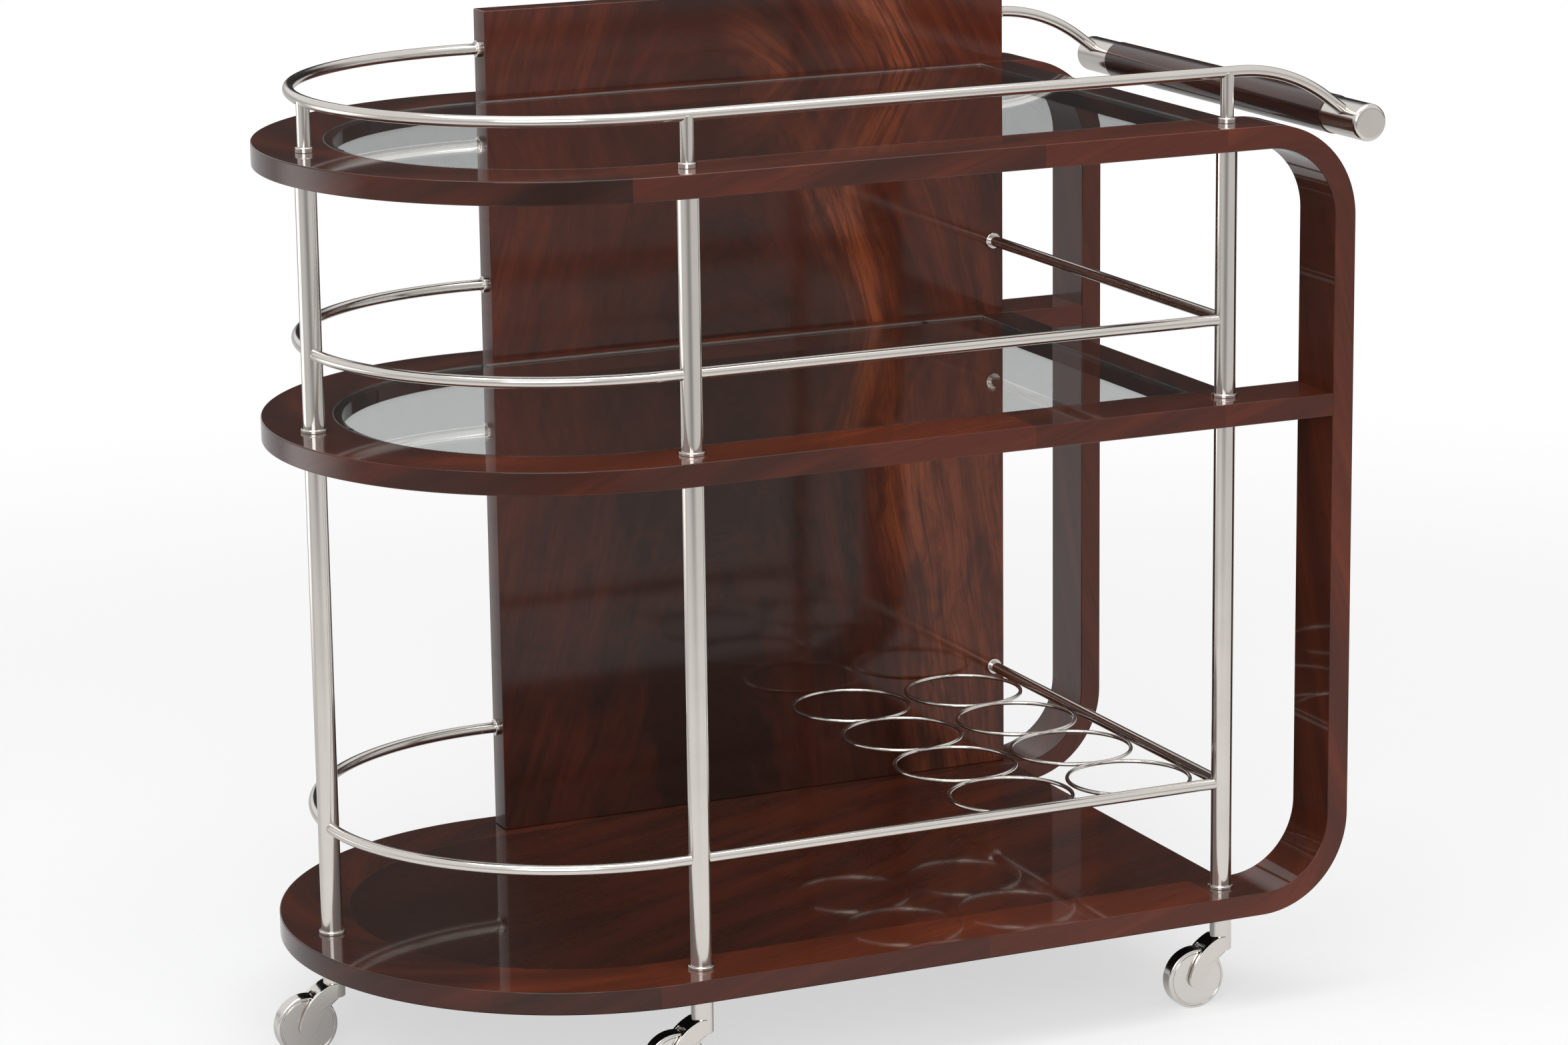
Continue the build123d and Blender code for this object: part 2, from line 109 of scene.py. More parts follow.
print("lens", round(lens.lens, 2), "mm")

# %% [markdown]
# ## Shader maths in plain expressions
# A material is a small formula. It could be wired by hand in the node editor, but a formula is easier to read
# and to change as text. The class below wraps one output of a node, so that a formula can be written as
# Python: each operator adds its Math node, and node() adds any other node with its settings.


# %% Sockets as values
class Tap:
    """One output socket that can stand in a formula."""

    def __init__(self, tree, socket):
        self.tree, self.socket = tree, socket

    def node(self, kind, settings=None, sockets=None, out=0):
        """Adds a node of a type, sets its settings, then the values or links of its sockets."""
        made = self.tree.nodes.new(kind)
        for key, value in (settings or {}).items():
            setattr(made, key, value)
        for key, value in (sockets or {}).items():
            if isinstance(value, Tap):
                self.tree.links.new(value.socket, made.inputs[key])
            else:
                made.inputs[key].default_value = value
        return Tap(self.tree, made.outputs[out])

    def other(self, name):
        """Another output of the same node."""
        return Tap(self.tree, self.socket.node.outputs[name])

    def math(self, operation, *values, clamp=False):
        """A Math node on values, held between 0 and 1 with clamp."""
        settings = {"operation": operation, "use_clamp": clamp}
        return self.node("ShaderNodeMath", settings, dict(enumerate(values)))

    def __add__(self, value):
        return self.math("ADD", self, value)

    def __mul__(self, value):
        return self.math("MULTIPLY", self, value)

    def __sub__(self, value):
        return self.math("SUBTRACT", self, value)

    def __rsub__(self, value):
        return self.math("SUBTRACT", value, self)

    def __truediv__(self, value):
        return self.math("DIVIDE", self, value)

    def __rtruediv__(self, value):
        return self.math("DIVIDE", value, self)

    __radd__, __rmul__ = __add__, __mul__

    def __abs__(self):
        return self.math("ABSOLUTE", self)

    def held(self):
        """This value, held between 0 and 1."""
        return self.math("ADD", self, 0.0, clamp=True)

    def rise(self, low, high):
        """0 below low, 1 above high, and a smooth step between them."""
        return self.node("ShaderNodeMapRange", {"interpolation_type": "SMOOTHSTEP"},
                         {"Value": self, "From Min": low, "From Max": high})

    def peak(self, middle, width):
        """1 at the middle, and a smooth fall to 0 at a width to both sides."""
        return 1 - abs(self - middle).rise(0.0, width)

    def noise(self, detail=3.0, rough=0.5, scale=1.0):
        """Smooth noise of this vector, about 0.5."""
        return self.node("ShaderNodeTexNoise", {"noise_dimensions": "3D"},
                         {"Vector": self, "Scale": scale, "Detail": detail, "Roughness": rough})

    def mix(self, first, second):
        """Colour between two colours, with this value as the share of the second."""
        return self.node("ShaderNodeMix", {"data_type": "RGBA"}, {0: self, 6: first, 7: second}, 2)

    def vector(self, x, y, z):
        """Vector of three values."""
        return self.node("ShaderNodeCombineXYZ", None, {0: x, 1: y, 2: z})

    def axes(self):
        """The three values of this vector."""
        x = self.node("ShaderNodeSeparateXYZ", None, {0: self}, out="X")
        return x, x.other("Y"), x.other("Z")


# %% Materials and colours
def material(name):
    """New material, the shader that it comes with, and its first tap, which is the place in the object."""
    made = bpy.data.materials.new(name)
    made.use_nodes = True
    tree = made.node_tree
    return made, tree.nodes["Principled BSDF"], Tap(tree, None).node("ShaderNodeTexCoord", out="Object")


def feed(shader, **values):
    """Sets or links sockets of a shader: underscores in a name stand for spaces."""
    for key, value in values.items():
        socket = shader.inputs[key.replace("_", " ")]
        if isinstance(value, Tap):
            value.tree.links.new(value.socket, socket)
        else:
            socket.default_value = value


def show(surface):
    """Makes a mixed shader the surface of its material."""
    surface.tree.links.new(surface.socket, surface.tree.nodes["Material Output"].inputs["Surface"])


def rgb(*colour):
    """Colour with full alpha from three linear numbers."""
    return (*colour, 1.0)


# %% [markdown]
# ## Floor, light and surroundings
# The cart stands on a white studio floor. The floor lights the posts and the edges from below, and the posts
# mirror it. A plain white world would light the cart too, but then the lacquer and the glass would mirror
# white all over and look milky. So the light comes from a large soft box overhead and a wide one in front,
# and what mirrors see is set apart with Light Path: behind the cart the studio is dark on the right.


# %% Floor
def circle(d, points=32):
    """Round outline of diameter d about the origin: (cos t, sin t) times half of d."""
    turn = np.linspace(0, 2 * np.pi, points, endpoint=False)
    return np.stack([np.cos(turn), np.sin(turn)], 1) * d / 2


floor_r, floor_points = 15.0, 64
floor_mat, _, here = material("studio_floor")
ray = here.node("ShaderNodeLightPath", out="Is Camera Ray")
glossy, passed = ray.other("Is Glossy Ray"), ray.other("Is Transmission Ray")
seen = ray.math("ADD", ray + glossy, passed, clamp=True)
x, y, _ = here.axes()
away = here.node("ShaderNodeVectorMath", {"operation": "LENGTH"}, {0: here}, out="Value")
# near the cart part of the white is lit by the lamps, which keeps the shadow; far off it is all plain white
lift = (0.62 + 0.38 * away.rise(0.9, 2.6)) * seen
# painted light and shade that only mirrors see: darker behind the cart and far off in front, a painted
# shadow under the base, and far behind on the left a painted bright patch that glows brighter than white
north, bearing = y.rise(-0.1, 0.5), x / away
fall = away.rise(0.2, 3.0) * (0.25 + 0.42 * bearing.peak(-0.41, 0.6))
painted_shadow_under_base = (1 - abs(y).rise(0.14, 0.24)) * (1 - abs(x).rise(0.42, 0.52))
painted_bright_patch = bearing.peak(-0.8, 0.3) * y.rise(0.3, 1.2) * away.rise(1.2, 2.2)
dimmer = (0.38 * north + fall * (1 - north) + 0.5 * painted_shadow_under_base - 1.8 * painted_bright_patch) * (glossy * (1 - passed))
white = here.node("ShaderNodeEmission", None, {"Color": 1 - dimmer, "Strength": 1.0})
matt = here.node("ShaderNodeBsdfDiffuse", None, {"Color": rgb(0.9, 0.9, 0.9)})
show(here.node("ShaderNodeMixShader", None, {0: lift, 1: matt, 2: white}))
rim = np.hstack([circle(2 * floor_r, floor_points), np.zeros((floor_points, 1))])
floor_mesh = bpy.data.meshes.new("studio_floor")
floor_mesh.from_pydata(rim.tolist(), [], [list(range(floor_points))])
floor_mesh.materials.append(floor_mat)
studio_floor = bpy.data.objects.new("studio_floor", floor_mesh)
bpy.context.scene.collection.objects.link(studio_floor)
print("floor of", floor_r, "m radius")

# %% Surroundings
world = bpy.data.worlds.new("studio")
bpy.context.scene.world = world
world.use_nodes = True
sky = world.node_tree
x, y, z = Tap(sky, None).node("ShaderNodeTexCoord", out="Generated").axes()
behind = y.rise(-0.35, 0.45)
# what lights the cart: even overhead and in front, dim low down behind it
low_light = 0.5 - 0.44 * behind
soft = low_light + z.rise(0.25, 0.85) * (0.6 - low_light)
# what mirrors see: pale in front; behind, pale on the left, and on the right dark up to some height
front = 0.55 + 0.4 * z.rise(0.05, 0.4)
west, east = 0.5 + 0.5 * z.rise(0.0, 0.2), z.rise(0.33, 0.55)
back_wall = 0.03 + 0.92 * (west + x.rise(0.14, 0.28) * (east - west))
mirror = front + behind * (back_wall - front)
ray = x.node("ShaderNodeLightPath", out="Is Camera Ray")
level = soft + ray.other("Is Glossy Ray") * (mirror - soft)
level = level + ray * (1 - level)
sky.links.new(level.socket, sky.nodes["Background"].inputs["Color"])
print("surroundings from", len(sky.nodes), "nodes")


# %% Lamps
def soft_box(name, place, look, size, watts):
    """Area lamp at a place that faces a point."""
    lamp = bpy.data.lights.new(name, "AREA")
    lamp.shape, lamp.size, lamp.size_y, lamp.energy = "RECTANGLE", size[0], size[1], watts
    made = bpy.data.objects.new(name, lamp)
    made.location = place
    made.rotation_euler = (Vector(look) - Vector(place)).to_track_quat("-Z", "Y").to_euler()
    bpy.context.scene.collection.objects.link(made)
    print(name, watts, "W")


soft_box("soft_box_over", place=(-0.3, -0.5, 2.7), look=(0, 0, 0.4), size=(2.6, 1.6), watts=48)
soft_box("soft_box_front", place=(-1.9, -3.0, 1.9), look=(0, 0, 0.5), size=(2.0, 1.6), watts=45)

# %% [markdown]
# ## Surfaces on a grid
# A piece could be modelled by hand with extrude and bevel. Here it is a grid of points instead, because a
# grid that is worked out has true curves and comes out the same on each run: one direction runs along the
# piece, the other round its profile. The rows of a pole fall on one point, so they are merged, and the faces
# there become triangles. A closed surface has a signed volume, the sum of a . (b x c) / 6 over its triangles:
# where that is negative, the faces look inwards and are turned.

# %% Grid to faces
same_spot = 1e-7


def outward(spots, whole, triangles):
    """The same faces, all turned round if the volume that they close is negative."""
    corners = np.vstack([whole[:, [0, 1, 2]], whole[:, [0, 2, 3]], triangles])
    a, b, c = (spots[corners[:, k]] - spots.mean(0) for k in range(3))
    if np.einsum("ij,ij->i", a, np.cross(b, c)).sum() < 0:
        return whole[:, ::-1], triangles[:, ::-1]
    return whole, triangles


def faces_of(points, wrap_rows, wrap_columns):
    """Vertices and faces of a grid: each face joins points (i, j), (i, j+1), (i+1, j+1), (i+1, j). Points on
    the same spot become one vertex; first tells which point of the grid each vertex comes from."""
    rows, columns = points.shape[:2]
    index = np.arange(rows * columns).reshape(rows, columns)
    if wrap_rows:
        index = np.vstack([index, index[:1]])
    if wrap_columns:
        index = np.hstack([index, index[:, :1]])
    quads = np.stack([index[:-1, :-1], index[:-1, 1:], index[1:, 1:], index[1:, :-1]], -1).reshape(-1, 4)
    flat = points.reshape(-1, 3)
    cells = np.round(flat / same_spot).astype(np.int64)
    _, first, back = np.unique(cells, axis=0, return_index=True, return_inverse=True)
    quads = back.reshape(-1)[quads]
    same = quads == np.roll(quads, -1, 1)
    pairs = same.sum(1)
    start = same[pairs == 1].argmax(1)
    triangles = np.take_along_axis(quads[pairs == 1], (start[:, None] + np.array([1, 2, 3])) % 4, 1)
    return flat[first], first, *outward(flat[first], quads[pairs == 0], triangles)


# %% Piece from grids
def piece(name, grids, material, nodes=None, body="cart"):
    """One object from closed grids, each (points, wrap rows, wrap columns, flow): flow is a vector for each
    point that the material reads, such as the way along a strip, the way across it and its height. The piece
    takes the place of the solids in nodes, or of the one that has its own name."""
    nodes = nodes or [name]
    spots, flows, faces, count = [], [], [], 0
    for points, wrap_rows, wrap_columns, flow in grids:
        some, first, whole, triangles = faces_of(points, wrap_rows, wrap_columns)
        spots.append(some)
        flows.append((points if flow is None else flow).reshape(-1, 3)[first])
        faces += (whole + count).tolist() + (triangles + count).tolist()
        count += len(some)
    mesh = bpy.data.meshes.new(name)
    mesh.from_pydata(np.vstack(spots).tolist(), [], faces)
    layer = mesh.attributes.new("flow", "FLOAT_VECTOR", "POINT")
    layer.data.foreach_set("vector", np.vstack(flows).astype(np.float32).ravel())
    mesh.shade_smooth()
    mesh.materials.append(material)
    made = bpy.data.objects.new(name, mesh)
    bpy.context.scene.collection.objects.link(made)
    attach(made, body)
    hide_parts(*nodes)
    print(name, len(mesh.vertices), "points", len(mesh.polygons), "faces")


# %% [markdown]
# ## Profiles and paths
# Lacquered edges and turned metal have small rounds that catch the light. A Bevel modifier could make them,
# but one profile here has corners of several sizes. So each corner of a profile becomes an arc that touches
# both of its sides. A guard point just past each end of the arc keeps the flat beside it flat, because the
# shading runs smoothly from point to point.

# %% Rounded profile
corner_guard = 0.25 * MM
wood_round, tight_round = 1 * MM, 0.3 * MM


def rounded(corners, radii, steps=4, guard=corner_guard):
    """Closed outline with arcs for corners: along an arc the point is its centre plus a blend of the two end
    radii a and b, (a sin((1-t)w) + b sin(tw)) / sin(w), where w is the angle that the arc turns."""
    c = np.asarray(corners, float)
    r = np.broadcast_to(np.asarray(radii, float), len(c))[:, None]
    back, ahead = np.roll(c, 1, 0) - c, np.roll(c, -1, 0) - c
    back /= np.linalg.norm(back, axis=1, keepdims=True)
    ahead /= np.linalg.norm(ahead, axis=1, keepdims=True)
    half = np.arccos(np.clip((back * ahead).sum(1, keepdims=True), -1, 1)) / 2
    middle = (back + ahead) / np.linalg.norm(back + ahead, axis=1, keepdims=True)
    centre = c + middle * r / np.sin(half)
    first, last = c + back * r / np.tan(half), c + ahead * r / np.tan(half)
    turn, t = (np.pi - 2 * half)[:, :, None], np.linspace(0, 1, steps + 1)[None, :, None]
    blend = np.sin((1 - t) * turn) * (first - centre)[:, None] + np.sin(t * turn) * (last - centre)[:, None]
    arcs = centre[:, None] + blend / np.sin(turn)
    rows = [(first + back * guard)[:, None], arcs, (last + ahead * guard)[:, None]]
    return np.concatenate(rows, 1).reshape(-1, 2)


def bar(low, high, radii):
    """Four-sided profile from its lowest to its highest corner, with rounded corners."""
    return rounded([low, (high[0], low[1]), high, (low[0], high[1])], radii)


print("points at a rounded corner:", len(bar((0, 0), (strip_w, board_t), wood_round)) // 4)

# %% [markdown]
# A strip, rail or bar is its profile carried along a path. A curve object with a bevel profile does this too,
# but it leaves the ends sharp and gives the grain no way along the strip to follow. Here the ends are closed:
# the profile draws in by a hair at the very end, as a sanded edge does, and then falls to its middle. A guard
# row just before each end keeps the long faces flat, because otherwise the rounding of the end would bend the
# light all along them.

# %% Profile carried along a path
end_ease, end_guard = 0.06 * MM, 0.5 * MM


def inset(outline, depth):
    """Closed outline moved inwards: each point goes along the normal of the line through its neighbours."""
    along = np.roll(outline, -1, 0) - np.roll(outline, 1, 0)
    normal = np.stack([-along[:, 1], along[:, 0]], 1) / np.linalg.norm(along, axis=1, keepdims=True)
    area = (outline[:, 0] * np.roll(outline[:, 1], -1) - np.roll(outline[:, 0], -1) * outline[:, 1]).sum()
    return outline + normal * depth * np.sign(area)


def carried(path, side, up, profile, way=None):
    """Point (i, j) is path i + side i times profile j's first number + up i times its second; at both ends
    come a guard row and rows of the profile eased in, eased in twice as far, and fallen to its middle. The
    flow is the way along the path and the two numbers of the profile."""
    n = len(path)
    if way is None:
        way = np.concatenate([[0], np.cumsum(np.linalg.norm(np.diff(path, axis=0), axis=1))])
    shapes = np.stack([np.broadcast_to(profile.mean(0), profile.shape), inset(profile, 2 * end_ease),
                       inset(profile, end_ease), profile])
    rows = np.concatenate([[0] * 4, np.arange(n), [n - 1] * 4])
    kinds = np.concatenate([[0, 1, 2], np.full(n + 2, 3), [2, 1, 0]])
    spot = path[rows].copy()
    tangent_in = (path[1] - path[0]) / np.linalg.norm(path[1] - path[0])
    tangent_out = (path[-1] - path[-2]) / np.linalg.norm(path[-1] - path[-2])
    spot[3:5] += np.outer([end_ease, end_guard], tangent_in)
    spot[-5:-3] -= np.outer([end_guard, end_ease], tangent_out)
    shape = shapes[kinds]
    points = spot[:, None] + side[rows][:, None] * shape[..., :1] + up[rows][:, None] * shape[..., 1:]
    flow = np.concatenate([np.broadcast_to(way[rows][:, None, None], shape[..., :1].shape), shape], -1)
    return points, False, True, flow


def along(path, direction):
    """The same direction for every point of a path."""
    return np.broadcast_to(np.asarray(direction, float), path.shape)


# %% [markdown]
# Frames and guard rails follow the same line: along the back, round half a circle and along the front. It
# could be drawn as a curve with handles, but a Bezier curve is not quite a circle, and polished rails that
# run side by side would show that. Each point of the line carries its outward normal, so a profile can be
# laid out inwards from the edge.

# %% Line round the end
half_turn = np.linspace(np.pi / 2, 3 * np.pi / 2, 97)
bend_guard = 1 * MM


def nose_line(r, start_x, end_x, z):
    """Back straight, half circle of radius r about the centre of the round end, front straight: points,
    outward normals, and the way along, which is 0 at the tip of the round end and grows to the front."""
    quarter, meet_x = np.pi / 2 * r, round_x + bend_guard
    back_x, front_x = np.array([start_x, meet_x]), np.array([meet_x, end_x])
    out = np.stack([np.cos(half_turn), np.sin(half_turn), 0 * half_turn], 1)
    x = np.concatenate([back_x, round_x + r * out[:, 0], front_x])
    y = np.concatenate([[r, r], r * out[:, 1], [-r, -r]])
    normal = np.concatenate([[[0, 1, 0]] * 2, out, [[0, -1, 0]] * 2])
    bent = (half_turn - np.pi) * r
    way = np.concatenate([-(quarter + back_x - round_x), bent, quarter + front_x - round_x])
    return np.stack([x, y, np.full_like(x, z)], 1), normal, way


print("edge of a shelf round the end:", round(np.pi * edge_y, 3), "m")

# %% [markdown]
# ## Finish: lacquered mahogany
# The shelves and loops are veneered with dark red-brown mahogany under a clear high-gloss lacquer. A photo
# texture could give the figure, but a formula has no seams and no size limit. Noise that is stretched along
# the grain gives bands, fine lines and pores. The leaves of veneer change tone at their seams. The flow
# vector of a strip gives the way along it and the way across it, so the figure follows the round end instead
# of cutting through it. The lacquer is the coat layer of the shader.

# %% Figure of the wood
dark_wood, red_wood = rgb(0.022, 0.0072, 0.0045), rgb(0.083, 0.0160, 0.0070)
warm_wood, pore_brown = rgb(0.15, 0.029, 0.0098), rgb(0.008, 0.004, 0.003)
# noise cells per metre along the grain and across it
drift_cells, band_cells, line_cells, pore_cells = (2.2, 4.0), (3.2, 42.0), (12.0, 380.0), (110.0, 2400.0)


def streaks(here, p, q, cells, depth, detail, rough=0.5):
    """Noise of (p, q, depth) stretched along p: cells are its cells per metre along p and along q."""
    return here.vector(p * cells[0], q * cells[1], depth).noise(detail, rough)


def figure(here, p, q, depth, sway):
    """Grain along p: q bends by slow noise times sway, then stretched noise gives broad bands, fine lines and
    the short dark dashes of the pores; depth picks another slice of the noise for each piece."""
    bent = q + (streaks(here, p, q, drift_cells, depth, 1.0) - 0.5) * sway
    bands = streaks(here, p, bent, band_cells, depth, 3.0, 0.55)
    lines = streaks(here, p, bent, line_cells, depth + 3.0, 2.0, 0.6)
    pores = streaks(here, p, bent, pore_cells, depth + 7.0, 1.0)
    return bands, lines, pores


def fine_grain(colour, dark_lines, pores):
    """Dark lines over a colour, then the pores over both."""
    colour = dark_lines.mix(colour, dark_wood)
    return (pores.rise(0.6, 0.72) * 0.35).mix(colour, pore_brown)


# %% Lacquer and painted underside shade
# near-black painted shade for the undersides of the boards
underside_painted_shade = rgb(0.006, 0.005, 0.005)


def lacquer(shader, gloss=0.045):
    """Clear coat over the wood: the coat mirrors, the wood under it hardly does."""
    feed(shader, Specular_IOR_Level=0.05, Coat_Weight=1.0, Coat_Roughness=gloss, Coat_IOR=1.35)


def wood_finish(shader, colour, lines, above=None):
    """Wood of a colour, rougher along its lines; where above is 0, on an underside, painted shade in
    near-black without lacquer instead."""
    roughness = 0.35 + 0.15 * lines
    # on an underside the colour is painted shade
    if above is not None:
        colour, roughness = above.mix(underside_painted_shade, colour), roughness + 0.3 * (1 - above)
        feed(shader, Coat_Weight=above)
    feed(shader, Base_Color=colour, Roughness=roughness)


def over_foot(height, foot):
    """0 on the underside of a board, 1 a little above it."""
    return height.rise(foot + 0.3 * MM, foot + 1.2 * MM)


# %% Mahogany of a strip
def flow_of(here):
    """The flow vector that piece() stored with each point."""
    return here.node("ShaderNodeAttribute", {"attribute_name": "flow"}, out="Vector")


def leaves(way, tone, seams):
    """Tone of the veneer leaves along a strip: the first tone, then a change over some width at each seam."""
    for place, change, width in seams:
        tone = tone + change * way.rise(place, place + width)
    return tone


def mahogany(name, depth, edge, top, edge_seams=(), top_seams=(), painted_inner_shade=0.0, foot=None):
    """Mahogany of a strip whose flow is (way along, way in from the outer face, height): edge and top are the
    tones of the first leaf on its outer face and on its other faces; painted_inner_shade is a change of
    tone on the inner face, painted shade where it darkens it; a strip with a foot gets near-black painted
    shade on its underside, which is at that level."""
    made, shader, here = material(name)
    way, inward, height = flow_of(here).axes()
    across = inward + height
    bands, lines, pores = figure(here, way * 0.75 + across * 0.6, across * 0.75 - way * 0.25, depth, 0.05)
    light = bands.rise(0.3, 0.72) * 0.55 + leaves(way, edge, edge_seams) - 0.4
    # a negative change here darkens the inner face: painted shade
    light = light + painted_inner_shade * inward.rise(board_t - 0.8 * MM, board_t - 0.2 * MM)
    colour = light.held().mix(dark_wood, red_wood)
    flat = inward.rise(0.8 * MM, 1.6 * MM) * leaves(way, top, top_seams)
    warm = bands.rise(0.5, 0.8) * 0.5 * light + flat * (0.6 + 0.4 * bands.rise(0.3, 0.7))
    colour = fine_grain(warm.held().mix(colour, warm_wood), lines.rise(0.5, 0.8) * 0.45, pores)
    lacquer(shader)
    wood_finish(shader, colour, lines, None if foot is None else over_foot(height, foot))
    return made


# %% Leaves of each strip
crisp = 0.5 * MM


def front_seams(*places):
    """Seams given as (x from the centre of the round end, change, width), as ways along a shelf's front."""
    return [(np.pi / 2 * edge_y + x, change, width) for x, change, width in places]


# on the top shelf's outer face the first change darkens it slowly past the tip: the lighter nose is a painted
# highlight
top_wood = mahogany(
    "mahogany_top", 1.0, 0.65, 0.0,
    front_seams((-0.26, -0.5, 0.16), (-0.04, 0.72, crisp), (0.05, -0.24, 0.03), (0.312, 0.68, crisp)),
    front_seams((-0.25, 0.38, 0.05)))
mid_wood = mahogany(
    "mahogany_middle", 2.0, 0.55, 0.05,
    front_seams((-0.165, 0.05, crisp), (0.14, 0.6, 0.03), (0.303, -0.55, crisp), (0.38, 0.25, 0.08)),
    front_seams((-0.25, 0.6, 0.05), (0.303, -0.6, crisp)))
# the foot gives the base's border near-black painted shade on its underside
base_wood = mahogany(
    "mahogany_base", 3.0, 0.5, 0.1,
    front_seams((-0.167, -0.1, crisp), (-0.03, 0.46, crisp), (0.26, 0.42, crisp)),
    front_seams((-0.2, 0.55, 0.05), (0.19, 0.25, 0.03), (0.27, -0.25, crisp)), foot=base_low[2])
# the loops' inner faces are darkened: painted shade
loop_wood = mahogany("mahogany_loop", 4.0, 0.95, 0.28, [(0.1, -0.2, crisp), (0.70, 0.15, crisp)], painted_inner_shade=-0.5)
arm_wood = mahogany("mahogany_arm", 5.0, 0.95, 0.15)
# the cross bars' tones are darker still than the dark mahogany: partly a painted dark reflection
bar_wood = mahogany("mahogany_bar", 7.0, 0.3, 0.0)
print("veneers:", ", ".join(m.name for m in (top_wood, mid_wood, base_wood, loop_wood, arm_wood, bar_wood)))

# %% [markdown]
# ## Shelves
# Each shelf frame is a strip bent round the end, with a step down at its inner edge to the ledge that carries
# the glass. It could be cut from a board with booleans, but that leaves ragged faces; here it is one profile
# carried round the end. The base has the same border without the step.

# %% Frames and border of the base
ledge_w, ledge_drop = 8 * MM, 7 * MM
step_round, seam_round = 0.2 * MM, 0.15 * MM


def frame_profile(low, high):
    """Strip with a ledge: flat top and side with eased edges, and a step at the inner edge."""
    inner, ledge = strip_w + ledge_w, high - ledge_drop
    corners = [(0, low), (inner, low), (inner, ledge), (strip_w, ledge), (strip_w, high), (0, high)]
    return rounded(corners, [wood_round, tight_round, tight_round, step_round, tight_round, wood_round])


def shelf_strip(name, profile, wood, nodes=None):
    """Profile laid inwards from the outer edge along the line round the end."""
    path, normal, way = nose_line(edge_y, splice_x, splice_x, 0)
    piece(name, [carried(path, -normal, along(path, ups), profile, way)], wood, nodes)


shelf_strip("mid_frame", frame_profile(mid_low[2], mid_high[2]), mid_wood)
shelf_strip("top_frame", frame_profile(top_low[2], top_high[2]), top_wood)
border = bar((0, base_low[2]), (strip_w, base_high[2]), [wood_round, seam_round, seam_round, wood_round])
shelf_strip("base_border", border, base_wood, ["base_shelf"])

# %% [markdown]
# The base has a darker field inside its border, with the grain at a slant. It is a flat board, so its
# figure can read the place in the object: turned axes give the slant, and it grows lighter to the right.


# %% Veneer of the field
def field_wood():
    """Slanting grain in the plane of the board, dark, with a few lighter wedges."""
    made, shader, here = material("mahogany_field")
    x, y, z = here.axes()
    bands, lines, pores = figure(here, x * 0.9 + y * 0.42, y * 0.9 - x * 0.42, 6.0, 0.16)
    wedge = here.vector(x * 2.5 + y, y * 16.0 - x * 7.0, 8.0).noise(2.0, 0.55)
    reach = x.rise(round_x - 0.15, round_x + 0.22)
    mixed = wedge.rise(0.42, 0.66) * 0.65 + bands.rise(0.35, 0.75) * 0.35
    tone = 0.04 + 0.3 * reach + (0.2 + 0.65 * reach) * mixed
    colour = fine_grain(tone.mix(dark_wood, red_wood), lines.rise(0.5, 0.8) * 0.4, pores)
    lacquer(shader)
    # its underside gets the near-black painted shade
    wood_finish(shader, colour, lines, over_foot(z, base_low[2]))
    return made


field_finish = field_wood()
print("veneer:", field_finish.name)

# %% [markdown]
# A board or a pane is a flat outline with a thickness. Extruding a filled outline would leave one large face
# with a sharp rim; here rows of the outline run from its centre to a rounded rim and back over the other
# face. The field and both panes have the same tongue shape, half round at the left and square at the right.


# %% Boards of any outline
def slab(outline, low, high, ease, place, centre):
    """Board of any outline: rows go from its centre over the face to the rounded edge, down the side and
    back over the other face; place(u, v, h) sets the flat point (u, v) at height h into space. The flow is
    (u, v) and 1 on the rim, 0 on the faces."""
    turn = np.linspace(0, np.pi / 2, 5)
    inward = np.concatenate([[1.4 * ease], ease * (1 - np.sin(turn))])
    height = np.concatenate([[0], ease * (1 - np.cos(turn))])
    inward = np.concatenate([inward, inward[::-1]])
    height = np.concatenate([[low], low + height, high - height[::-1], [high]])
    pole = np.broadcast_to(np.asarray(centre, float), outline.shape)
    rows = np.stack([pole, *[inset(outline, d) for d in inward], pole])
    shape = rows.shape[:2]
    points = place(rows[..., 0], rows[..., 1], np.broadcast_to(height[:, None], shape))
    rim = np.concatenate([[0, 0], np.ones(len(inward) - 2), [0, 0]])
    flow = np.stack([rows[..., 0], rows[..., 1], np.broadcast_to(rim[:, None], shape)], -1)
    return points, False, True, flow


def flat_xy(u, v, h):
    """Board that lies flat: u runs along X, v along Y, h up."""
    return np.stack([u, v, h], -1)


# %% Field of the base
strip_y, board_middle = edge_y - strip_w, (round_x + 0.15, 0)
field_corner, field_ease = 1.2 * MM, 0.05 * MM


def tongue(r, end, corner):
    """Outline of a board with a half-round left end of radius r, cut square at x = end."""
    square = bar((round_x, -r), (end, r), corner)
    n = len(square) // 4
    nose = np.stack([round_x + r * np.cos(half_turn), r * np.sin(half_turn)], 1)
    meet_x = round_x + bend_guard
    return np.concatenate([square[n:3 * n], [[meet_x, r]], nose, [[meet_x, -r]]])


outline = tongue(strip_y, bar_x, field_corner)
field = slab(outline, base_low[2], base_high[2], field_ease, flat_xy, board_middle)
piece("base_field", [field], field_finish, ["base_shelf"])

# %% [markdown]
# ## Finish: float glass
# The panes are clear float glass with ground green edges. Real glass lets lamp light through as a shadow of
# its own tint; a path tracer hardly finds that light, so shadow rays see plain see-through tint instead.

# %% Panes
pane_corner, pane_round = 1.5 * MM, 0.5 * MM


